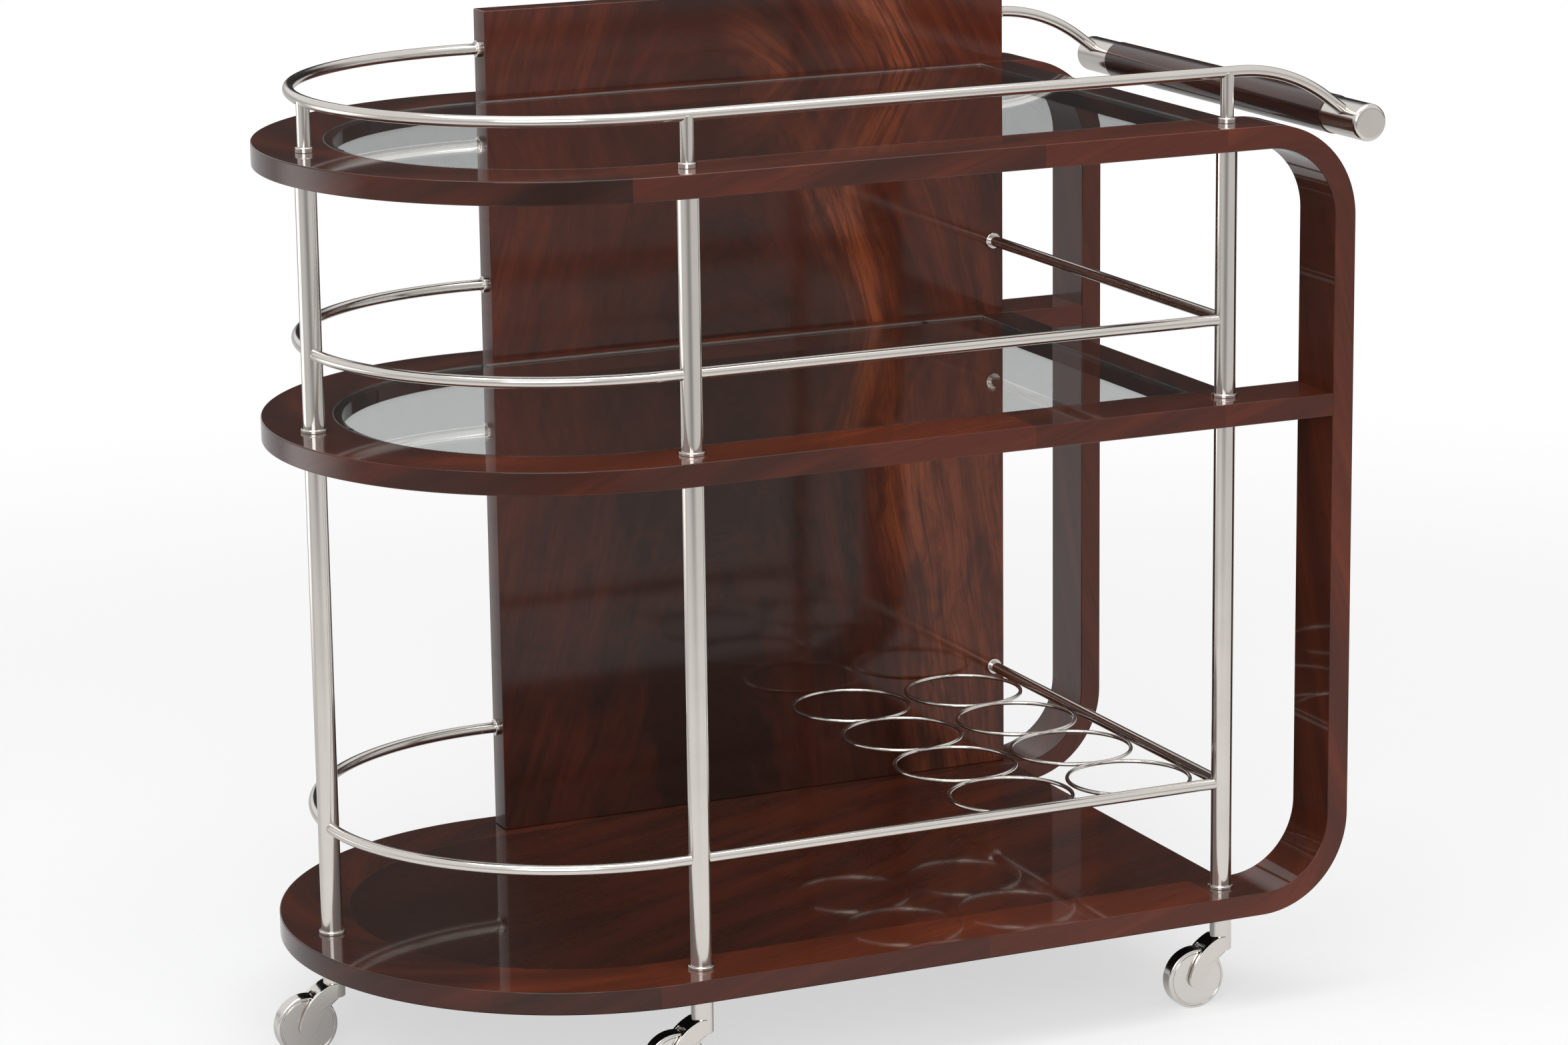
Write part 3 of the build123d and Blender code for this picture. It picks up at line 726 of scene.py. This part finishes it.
def clear_glass():
    """Float glass: faces with the faintest cloud in their tint, ground green edges (flow z is 1 there)."""
    made, shader, here = material("float_glass")
    _, _, edge = flow_of(here).axes()
    cloud = here.noise(3.0, 0.6, 9.0).rise(0.4, 0.8)
    tint = edge.mix(cloud.mix(rgb(0.83, 0.855, 0.84), rgb(0.82, 0.85, 0.835)), rgb(0.2, 0.34, 0.28))
    feed(shader, IOR=1.5, Transmission_Weight=1.0, Base_Color=tint, Roughness=0.3 * edge)
    shadow = here.node("ShaderNodeLightPath", out="Is Shadow Ray")
    through = here.node("ShaderNodeBsdfTransparent", None, {"Color": rgb(0.88, 0.92, 0.9)})
    surface = Tap(here.tree, shader.outputs[0])
    show(here.node("ShaderNodeMixShader", None, {0: shadow, 1: surface, 2: through}))
    return made


glass_finish = clear_glass()
for name in ("mid_glass", "top_glass"):
    low, high = box(name)
    outline = tongue(high[1], high[0], pane_corner)
    pane = slab(outline, low[2], high[2], pane_round, flat_xy, board_middle)
    piece(name, [pane], glass_finish)

# %% [markdown]
# ## Right end
# The end loops are plain strips, bent round two wide corners. They could be boards with a Simple Deform
# modifier, but that stretches the corners. Their line runs in an upright plane: straight, quarter circle,
# straight, quarter circle, straight.

# %% End loops
loop_r = 80 * MM


def flat_xz(u, v, h):
    """Board that stands: u runs along X, v up, h along Y."""
    return np.stack([u, h, v], -1)


def loop_line(low, high, r):
    """Outer line of a loop in the XZ plane: bottom straight, corner, upright, corner, top straight; points
    and outward normals."""
    turn = np.linspace(0, np.pi / 2, 33)
    x_end, z_low, z_high = high[0], low[2], high[2]
    bend_x, back_x = x_end - r, x_end - r - bend_guard
    foot_n = np.stack([np.sin(turn), -np.cos(turn)], 1)
    head_n = np.stack([np.cos(turn), np.sin(turn)], 1)
    foot, head = np.array([bend_x, z_low + r]) + r * foot_n, np.array([bend_x, z_high - r]) + r * head_n
    upright = [(x_end, z_low + r + bend_guard), (x_end, z_high - r - bend_guard)]
    flat = np.concatenate([[(low[0], z_low), (back_x, z_low)], foot, upright, head,
                           [(back_x, z_high), (low[0], z_high)]])
    normal = np.concatenate([[(0, -1)] * 2, foot_n, [(1, 0)] * 2, head_n, [(0, 1)] * 2])
    level = 0 * flat[:, 0]
    return flat_xz(flat[:, 0], flat[:, 1], level), flat_xz(normal[:, 0], normal[:, 1], level)


for name in ("loop_front", "loop_rear"):
    low, high = box(name)
    path, normal = loop_line(low, high, loop_r)
    profile = bar((0, low[1]), (board_t, high[1]), wood_round)
    piece(name, [carried(path, -normal, along(path, (0, 1, 0)), profile)], loop_wood)

# %% [markdown]
# Arms join the middle frame to the loops, and cross bars close the glass openings on the right, with the same
# ledge as the frames. These are straight strips, so they need only two points of a path. The ledge of a cross
# bar is a strip of its own that laps into the bar.

# %% Arms and cross bars
ledge_y, ledge_lap = strip_y - ledge_w, 2 * MM


def straight(start, end, side, profile):
    """Profile carried straight on, with its second number upwards."""
    path = np.array([start, end], float)
    return carried(path, along(path, side), along(path, ups), profile)


for name in ("mid_arm_front", "mid_arm_rear"):
    low, high = box(name)
    outer = max(low[1], high[1], key=abs)
    profile = bar((0, low[2]), (strip_w, high[2]), wood_round)
    arm = straight((low[0], outer, 0), (high[0], outer, 0), (0, -np.sign(outer), 0), profile)
    piece(name, [arm], arm_wood)
for name in ("mid_cross_bar", "top_cross_bar"):
    low, high = box(name)
    body = bar((splice_x, low[2]), (bar_x, high[2]), [tight_round, wood_round, wood_round, tight_round])
    ledge = bar((low[0], low[2]), (splice_x + ledge_lap, high[2] - ledge_drop), tight_round)
    piece(name, [straight((0, -strip_y, 0), (0, strip_y, 0), (1, 0, 0), body),
                 straight((0, -ledge_y, 0), (0, ledge_y, 0), (1, 0, 0), ledge)], bar_wood)

# %% [markdown]
# ## Back panel
# The panel is one leaf of crotch veneer, cut where a branch leaves the trunk: its growth lines rise to a
# crest and lean away to both sides, with warm flames on the right. Straight stretched noise can't show that,
# so the noise is read along bent coordinates: c counts the growth lines and p runs along them.

# %% Crotch veneer
flame_wood = rgb(0.2, 0.046, 0.016)
crest_x, crest_round, swell_z = round_x + 0.20, 0.012, 0.37


def crotch_wood():
    """Growth lines c = root(s * s + b) + f(z), with s the way from the crest: f rises evenly on the left and
    faster towards the top on the right, so the lines arch over the crest and steepen as they go down. Two
    flames follow lines on the right, the foot of the crest is dark, and clouds and mottle break the tone."""
    made, shader, here = material("mahogany_crotch")
    x, _, z = here.axes()
    waver = here.vector(x * 9.0, 3.0, z * 5.0).noise(2.0, 0.5) - 0.5
    s = x - crest_x + waver * 0.03
    above = z - swell_z
    above = above.math("MAXIMUM", above, 0.0)
    lift = 0.232 * z + s.rise(-0.12, 0.12) * (0.73 * above * above * above - 0.102 * z)
    square = s * s + crest_round
    spread = square.math("SQRT", square)
    c, p = spread + lift, z - 0.3 * spread
    bands, lines, pores = figure(here, p, c, 9.0, 0.05)
    broad = here.vector(p * 2.0, c * 15.0 + bands * 0.4, 12.0).noise(2.0, 0.6)
    feather = here.vector(p * 7.0, c * 85.0 + broad * 2.0, 15.0).noise(3.0, 0.6)
    cloud = here.vector(x * 16.0, 5.0, z * 10.0).noise(3.0, 0.6) - 0.5
    mottle = here.vector(p * 13.0, c * 44.0 + cloud * 4.0, 18.0).noise(3.0, 0.62) - 0.5
    # where the flames run: one line all the way up, one in the upper part, and a broad one at the foot
    low, high = 1 - z.rise(0.42, 0.52), z.rise(0.66, 0.76)
    ways = c.peak(0.275, 0.032) * (1 - 0.5 * high) + c.peak(0.372, 0.04) * (0.18 + 1.32 * high) * (1 - low)
    ways = ways + 0.6 * c.rise(0.262, 0.285) * low
    flame = ways * s.rise(0.02, 0.09) * (0.22 + 0.9 * broad.rise(0.36, 0.56))
    flame = flame * (0.4 + 0.75 * mottle.rise(-0.15, 0.08))
    # tone of the wood between them: dark along the crest and under its arch, lighter at the top right
    core = s.peak(0.02, 0.18)
    arch = (s + 0.03) * (s + 0.03) / 0.0081 + (z - 0.12) * (z - 0.12) / 0.0256
    tone = 0.34 + 0.5 * broad.rise(0.3, 0.7) + 0.5 * (feather - 0.5) + 0.7 * cloud + 1.3 * mottle
    tone = tone + high * (0.15 + 0.35 * s.rise(0.12, 0.26)) - 0.18 * (1 - z.rise(0.14, 0.3))
    tone = tone - (0.45 + 0.15 * high) * core - 0.15 * (1 - arch.rise(0.5, 1.2))
    colour = tone.held().mix(dark_wood, red_wood)
    colour = ((0.15 + 0.3 * high) * feather.rise(0.45, 0.7) * (1 - core)).mix(colour, warm_wood)
    glow = flame * (0.1 + 0.3 * low + (0.9 - 0.3 * low) * feather.rise(0.36, 0.6))
    colour = glow.mix(colour, flame_wood)
    colour = fine_grain(colour, lines.rise(0.46, 0.72) * (0.3 + 0.25 * flame), pores)
    lacquer(shader, 0.085)
    wood_finish(shader, colour, lines)
    return made


crotch_finish = crotch_wood()
print("veneer:", crotch_finish.name)

# %% Back panel
panel_corner, panel_round = 1.2 * MM, 0.8 * MM
outline = bar(panel_low[[0, 2]], panel_high[[0, 2]], panel_corner)
panel_middle = (panel_low + panel_high)[[0, 2]] / 2
panel = slab(outline, panel_low[1], panel_high[1], panel_round, flat_xz, panel_middle)
piece("back_panel", [panel], crotch_finish)

# %% [markdown]
# ## Finish: nickel
# The posts, rails, rings and casters are warm polished nickel. A perfect mirror would look like a drawing, so
# slow noise adds the faintest smears to its roughness.


# %% Nickel
def metal(name, colour, smear):
    """Mirror metal: slow noise gives smears of a little more roughness."""
    made, shader, here = material(name)
    cloud = here.noise(4.0, 0.6, 22.0)
    tint = (cloud.rise(0.3, 0.8) * 0.5).mix(rgb(*colour), rgb(*[0.9 * c for c in colour]))
    feed(shader, Metallic=1.0, Base_Color=tint, Roughness=0.12 + smear * cloud.rise(0.35, 0.75))
    return made


nickel_finish = metal("polished_nickel", (0.66, 0.62, 0.58), 0.06)
print("metal:", nickel_finish.name)

# %% [markdown]
# ## Posts, stubs and collars
# These are turned on a lathe: half a profile goes round an upright axis. Blender's cylinders would do for the
# posts, but their rims are sharp and catch no light, and the Screw modifier leaves the poles open. So a grid
# does it: one direction follows the half profile, the other goes round. The posts have hair-fine eased ends;
# the collars are small rings with a soft top edge.


# %% Turned pieces
def turned(profile, foot, axis, points=48):
    """Turned piece: profile (radius, height) goes round an axis through foot; it starts and ends on the axis,
    or is a closed ring when it stays off the axis."""
    axis = np.asarray(axis, float)
    side = np.array([1.0, 0, 0]) if abs(axis[0]) < 0.9 else np.array([0, 1.0, 0])
    other = np.cross(axis, side)
    turn = np.linspace(0, 2 * np.pi, points, endpoint=False)
    ring = np.cos(turn)[:, None] * side + np.sin(turn)[:, None] * other
    profile = np.asarray(profile)
    closed = bool(profile[0, 0] > same_spot)
    grid = np.asarray(foot) + profile[:, None, 1:] * axis + profile[:, None, :1] * ring[None]
    return grid, closed, True, None


def half_section(corners, radii, steps=4, guard=corner_guard):
    """Half section for turned(): the first and last corner lie on the axis, the others get their radii."""
    whole = rounded(corners, [same_spot, *radii, same_spot], steps, guard)
    return np.vstack([corners[0], whole[steps + 3:-steps - 3], corners[-1]])


def rod(r, low, high, foot_ease=tight_round, head_ease=tight_round, steps=4):
    """Half section of a round bar: from the axis out to the edge, up and back to the axis."""
    return half_section([(0, low), (r, low), (r, high), (0, high)], [foot_ease, head_ease], steps)


def washer(bore, r, low, high, radii):
    """Section of a ring: a closed profile off the axis, with its corners' radii in millimetres."""
    return rounded([(bore, low), (r, low), (r, high), (bore, high)], np.array(radii) * MM, 6)


# %% Turned uprights
# radius and height in millimetres of the collar at the foot of each kind of upright
collar_sizes = {"lower_post_": (10.75, 3.0), "upper_post_": (10.75, 3.0), "top_stub_": (7.25, 4.5)}
ring_lap = 0.2 * MM


def upright(node):
    """Axis, radius and levels of a round upright solid."""
    low, high = box(node)
    middle = (low + high) / 2
    return np.array([middle[0], middle[1], 0]), (high[0] - low[0]) / 2, low[2], high[2]


collars = []
for side in ("left", "middle", "right"):
    for kind, (collar_r, collar_h) in collar_sizes.items():
        foot, r, low, high = upright(kind + side)
        piece(kind + side, [turned(rod(r, low, high), foot, ups)], nickel_finish)
        collar = washer(r - ring_lap, collar_r * MM, low, low + collar_h * MM, [0.1, 0.3, 1.0, 0.3])
        collars.append(turned(collar, foot, ups))
piece("post_collars", collars, nickel_finish)

# %% [markdown]
# ## Rails and rings
# The guard rails are round bars, bent cold and let into the panel behind small rosettes. A rail is a round
# profile carried out of the panel, round the end and along the front. The top rail goes on: past the panel it
# bends down in an arc and runs straight into the cap of the handle. A bevelled curve would look the same, but
# here the line that the shelves have already does it.

# %% Guard rails
rail_d = box("mid_rail")[1][2] - box("mid_rail")[0][2]
panel_right = panel_high[0]
right_axis = upright("lower_post_right")[0]
rail_seat, rail_stop = 10 * MM, 5.2 * MM
bend_r, bend_turn = 138 * MM, math.radians(36.5)
handle_run, cap_r, cap_seat = 33.5 * MM, 15.5 * MM, 8 * MM


def bend_line(z, y):
    """Arc from level to the slope of the handle arm, then straight on into the cap; points and normals."""
    turn = np.linspace(0, bend_turn, 25)
    x, drop = bend_r * np.sin(turn), bend_r * (1 - np.cos(turn))
    run = handle_run - cap_r + cap_seat
    x = np.append(x, x[-1] + run * math.cos(bend_turn))
    drop = np.append(drop, drop[-1] + run * math.sin(bend_turn))
    slope = np.append(turn, bend_turn)
    line = np.stack([panel_right + x, np.full(len(x), y), z - drop], 1)
    return line, np.stack([np.sin(slope), 0 * slope, np.cos(slope)], 1)


def guard_rail(name, end_x, handle_arm=False):
    """Round bar along the line round the end, which with a handle arm goes on down the bend; its level."""
    z = box(name)[1][2] - rail_d / 2
    path, side, _ = nose_line(line_y, panel_low[0] + rail_seat, end_x, z)
    over = along(path, ups)
    if handle_arm:
        line, tilt = bend_line(z, -line_y)
        path, side = np.vstack([path[:-1], line]), np.vstack([side[:-1], along(line, (0, -1, 0))])
        over = np.vstack([over[:-1], tilt])
    piece(name, [carried(path, side, over, circle(rail_d))], nickel_finish)
    return z


low_z = guard_rail("low_rail", right_axis[0] - rail_stop)
mid_z = guard_rail("mid_rail", right_axis[0] - rail_stop)
top_z = guard_rail("top_rail", panel_right, True)

# %% [markdown]
# At the back a short rail comes out of the panel and bends down to the handle in the same arc. Two straight
# cross rails close the right end between the panel and the right post.

# %% Rear handle rail and cross rails
line, tilt = bend_line(box("rear_handle_rail")[1][2] - rail_d / 2, line_y)
path = np.vstack([line[:1] - np.array([[rail_seat, 0, 0]]), line])
rail = carried(path, along(path, (0, 1, 0)), np.vstack([tilt[:1], tilt]), circle(rail_d))
piece("rear_handle_rail", [rail], nickel_finish)
for name in ("low_cross_rail", "mid_cross_rail"):
    low, high = box(name)
    x, _, z = (low + high) / 2
    rail = straight((x, low[1], z), (x, high[1], z), (1, 0, 0), circle(rail_d))
    piece(name, [rail], nickel_finish)

# %% [markdown]
# Where a rail meets the panel a small turned rosette hides the hole. The bottle rings are bent from wire and
# welded where they touch. They could be Blender's own torus objects, but here a torus is one more grid: it
# wraps in both directions and needs no ends. The rings overlap a little at the welds.

# %% Rosettes and bottle rings
rosette_r, rosette_t = 7.25 * MM, 4 * MM
rings_deep = 4
rosette = washer(rail_d / 2 - ring_lap, rosette_r, 0, rosette_t, [0.1, 0.2, 1.0, 0.3])
rosettes = [turned(rosette, (panel_low[0], line_y, z), (-1, 0, 0)) for z in (low_z, mid_z, top_z)]
rosettes += [turned(rosette, (right_axis[0], panel_low[1], z), (0, -1, 0)) for z in (low_z, mid_z)]
rosettes.append(turned(rosette, (panel_right, line_y, top_z), (1, 0, 0)))
piece("rail_rosettes", rosettes, nickel_finish)


def wire_ring(centre, r, wire_r):
    """Torus: out from the centre by r + wire_r cos v, up by wire_r sin v."""
    u, v = np.linspace(0, 2 * np.pi, 97)[:-1, None], np.linspace(0, 2 * np.pi, 17)[None, :-1]
    out = r + wire_r * np.cos(v)
    grid = np.stack([out * np.cos(u), out * np.sin(u), wire_r * np.sin(v) + 0 * u], -1)
    return grid + np.asarray(centre), True, True, None


for name in ("bottle_rings_right", "bottle_rings_left"):
    low, high = box(name)
    ring_d, wire_d = high[0] - low[0], high[2] - low[2]
    spacing = (high[1] - low[1] - ring_d) / (rings_deep - 1)
    x, _, z = (low + high) / 2
    centres = [(x, low[1] + ring_d / 2 + k * spacing, z) for k in range(rings_deep)]
    rings = [wire_ring(centre, (ring_d - wire_d) / 2, wire_d / 2) for centre in centres]
    piece(name, rings, nickel_finish)

# %% [markdown]
# ## Push handle
# A turned roll of dark wood with a metal cap at each end; the caps have a rounded outer end. They lie on
# their side, so their profiles go round an axis along Y, and the grain of the roll runs that way too: noise
# is drawn out along Y instead of being painted on.


# %% Wood of the grip
def turned_wood(name, light, dark):
    """Grain along Y, drawn out by stretched noise."""
    made, shader, here = material(name)
    x, y, z = here.axes()
    bands = here.vector(x * 90.0, y * 5.0, z * 90.0).noise(4.0, 0.6)
    lines = here.vector(x * 700.0, y * 20.0, z * 700.0).noise(2.0)
    colour = bands.rise(0.35, 0.7).mix(rgb(*dark), rgb(*light))
    colour = (lines.rise(0.5, 0.8) * 0.4).mix(colour, rgb(*dark))
    feed(shader, Base_Color=colour, Roughness=0.3 + 0.2 * lines)
    return made, shader


grip_finish, grip_shader = turned_wood("grip_wood", (0.05, 0.016, 0.010), (0.016, 0.007, 0.006))
lacquer(grip_shader)
print("wood:", grip_finish.name)

# %% Handle
grip_low, grip_high = box("handle_grip")
along_y = np.array([0.0, 1, 0])
axis_foot = (grip_low + grip_high) / 2 * np.array([1, 0, 1])
grip_round, cap_seam, cap_round = 1.2 * MM, 0.4 * MM, 4 * MM
grip = rod((grip_high[2] - grip_low[2]) / 2, grip_low[1], grip_high[1], grip_round, grip_round)
piece("handle_grip", [turned(grip, axis_foot, along_y, points=64)], grip_finish)
for name in ("handle_cap_front", "handle_cap_rear"):
    low, high = box(name)
    inner, outer = sorted((low[1], high[1]), key=abs)
    cap = rod((high[2] - low[2]) / 2, inner, outer, cap_seam, cap_round, steps=8)
    piece(name, [turned(cap, axis_foot, along_y, points=64)], nickel_finish)

# %% [markdown]
# ## Casters
# Each caster is a turned mount under the base, a fork that swivels on it and a wheel. The fork is a barrel
# with two flat cheeks that sweep back to the axle like a blade: the upper edge is bulged, the lower one
# hollow. So the side of a cheek is an outline of arcs, each given by its two ends and how far it stands off.

# %% Outline of a fork
fork_end_r, crown_rise, scoop_rise = 8 * MM, 4.9 * MM, 2.5 * MM
fork_back, fork_drop = 7 * MM, 17.1 * MM
upper_deg, lower_deg = 156, 320


def bulge(start, end, rise, steps=24):
    """Arc between two points that stands off its chord by rise, to the left of the way: its radius is
    chord * chord / (8 rise) + rise / 2."""
    start, end = np.asarray(start), np.asarray(end)
    chord = end - start
    length = np.linalg.norm(chord)
    r = length ** 2 / (8 * rise) + rise / 2
    left = np.array([-chord[1], chord[0]]) / length
    centre = (start + end) / 2 - left * (r - rise)
    half = math.asin(length / 2 / r)
    turn = np.linspace(half, -half, steps)[:, None]
    return centre + r * (np.cos(turn) * left - np.sin(turn) * chord / length)


def fork_outline(axis_x, axle, barrel_top, barrel_foot):
    """Side of a cheek: bulged upper edge, round end about the axle, hollow lower edge back to the barrel."""
    turn = np.radians(np.linspace(upper_deg, lower_deg, 24))
    nose = axle[[0, 2]] + fork_end_r * np.stack([np.cos(turn), np.sin(turn)], 1)
    shoulder = np.array([axis_x - fork_back, barrel_top - fork_drop])
    crown = bulge(shoulder, nose[0], -crown_rise)[:-1]
    scoop = bulge(nose[-1], (axis_x, barrel_foot), scoop_rise)[1:]
    return np.vstack([crown, nose, scoop, [[axis_x, shoulder[1]]]])


# %% [markdown]
# Between the cheeks the fork leaves room for the wheel. The slot could be cut out with a boolean, but then
# its edges stay sharp, so the fork is one grid that goes from face to face: over a cheek, round its eased
# edges and in to the web, where the outline steps back to an arc round the wheel.

# %% Fork with its slot
fork_ease, pole_shift = 0.4 * MM, np.array([6, 9]) * MM


def fork_body(outline, axle, half, slot_half, slot_r):
    """Fork as one shell: the outline goes across from face to face, and between the cheeks its points nearer
    to the axle than slot_r move out to that arc, which is the room of the wheel."""
    centre = axle[[0, 2]]
    near = np.linalg.norm(outline - centre, axis=1) < slot_r
    first, last = np.flatnonzero(near)[[0, -1]]
    ends = outline[[first - 1, last + 1]] - centre
    angle = np.unwrap(np.arctan2(ends[:, 1], ends[:, 0]))
    turn = np.linspace(angle[0], angle[1], last - first + 3)[1:-1]
    web = outline.copy()
    web[first:last + 1] = centre + slot_r * np.stack([np.cos(turn), np.sin(turn)], 1)
    bend = np.linspace(0, np.pi / 2, 5)
    depth = np.concatenate([[2 * fork_ease], fork_ease * (1 - np.sin(bend))])
    height = np.concatenate([[0], fork_ease * (1 - np.cos(bend))])
    drawn = np.stack([inset(outline, d) for d in depth])
    wall = outline + near[:, None] * (drawn - outline)
    pole = np.broadcast_to(centre + pole_shift, outline.shape)
    shapes = np.concatenate([pole[None], drawn, wall[::-1], web[None]])
    across = np.concatenate([[-half], height - half, -slot_half - height[::-1], [-slot_half]])
    shapes, across = np.concatenate([shapes, shapes[::-1]]), np.concatenate([across, -across[::-1]])
    y = np.broadcast_to(axle[1] + across[:, None], shapes.shape[:2])
    return flat_xz(shapes[..., 0], shapes[..., 1], y), False, True, None


# %% [markdown]
# The wheel is turned metal with a thin groove near its rim on both faces. The groove could be a dark ring in
# the material, but as a real step in the half section it catches the light. The axle is a plain steel pin.

# %% Wheel
groove_r, groove_half, groove_deep = 22.75 * MM, 0.8 * MM, 0.8 * MM
lip_round, bed_round, rim_round, wheel_guard = 0.25 * MM, 0.5 * MM, 2 * MM, 0.1 * MM


def wheel_section(r, half):
    """Half section of a wheel: flat faces with a groove near the rim, and a rim with rounded edges."""
    inner, outer, bed = groove_r - groove_half, groove_r + groove_half, half - groove_deep
    face = [(0, half), (inner, half), (inner, bed), (outer, bed), (outer, half), (r, half)]
    radii = [lip_round, bed_round, bed_round, lip_round, rim_round]
    return half_section([(u, -v) for u, v in face] + face[::-1], radii + radii[::-1], 5, wheel_guard)


wheel_finish = metal("wheel_metal", (0.66, 0.63, 0.6), 0.08)
steel_finish = metal("plain_steel", (0.45, 0.44, 0.43), 0.25)
print("metals:", wheel_finish.name, steel_finish.name)

# %% Five casters
trail, mount_gap, mount_seam, turn_round = 26 * MM, 0.4 * MM, 0.2 * MM, 1 * MM
barrel_r, barrel_l = 9 * MM, 29.6 * MM
fork_half, slot_half, wheel_room = 10 * MM, 6.9 * MM, 1.5 * MM
axle_r, axle_half = 3 * MM, fork_half - 0.3 * MM
for spot in ("left", "middle_front", "right_front", "middle_rear", "right_rear"):
    wheel_low, wheel_high = box("wheel_" + spot)
    axle = (wheel_low + wheel_high) / 2
    wheel_half, wheel_r = (wheel_high - wheel_low)[1:] / 2
    axis = np.array([axle[0] + trail, axle[1], 0])
    top = box("fork_" + spot)[1][2]
    foot = top - barrel_l
    mount = rod(barrel_r, top + mount_gap, base_low[2], turn_round, mount_seam, steps=6)
    piece("caster_mount_" + spot, [turned(mount, axis, ups)], nickel_finish)
    barrel = turned(rod(barrel_r, foot, top, turn_round, turn_round, steps=6), axis, ups)
    outline = fork_outline(axis[0], axle, top, foot)
    cheeks = fork_body(outline, axle, fork_half, slot_half, wheel_r + wheel_room)
    caster = "caster_" + spot
    piece("fork_" + spot, [barrel, cheeks], nickel_finish, body=caster)
    pin = turned(rod(axle_r, -axle_half, axle_half), axle, along_y, points=24)
    piece("axle_" + spot, [pin], steel_finish, body=caster)
    wheel = turned(wheel_section(wheel_r, wheel_half), axle, along_y, points=96)
    piece("wheel_" + spot, [wheel], wheel_finish, body="wheel_" + spot)

# %% [markdown]
# ## Inner parts
# Studs, screws and the handle rod are plain steel, the dowels are beech and the pads under the glass are
# clear rubber. They are plain round pieces that hardly show, so a new surface would add nothing: they keep
# their solids and get finishes of their own.

# %% Inner parts keep their solids
dowel_finish, _ = turned_wood("dowel_wood", (0.55, 0.40, 0.25), (0.42, 0.29, 0.17))
pad_finish, pad_shader, here = material("clear_pad")
feed(pad_shader, Transmission_Weight=1.0, IOR=1.4, Roughness=0.1 + 0.1 * here.noise(2.0, 0.5, 800.0))
inner_finishes = {"post_studs": steel_finish, "panel_screws": steel_finish, "handle_rod": steel_finish,
                  "joint_dowels": dowel_finish, "glass_pads": pad_finish}
for name, inner_finish in inner_finishes.items():
    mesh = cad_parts[name].data
    mesh.materials.clear()
    mesh.materials.append(inner_finish)
print("solids kept:", ", ".join(inner_finishes))
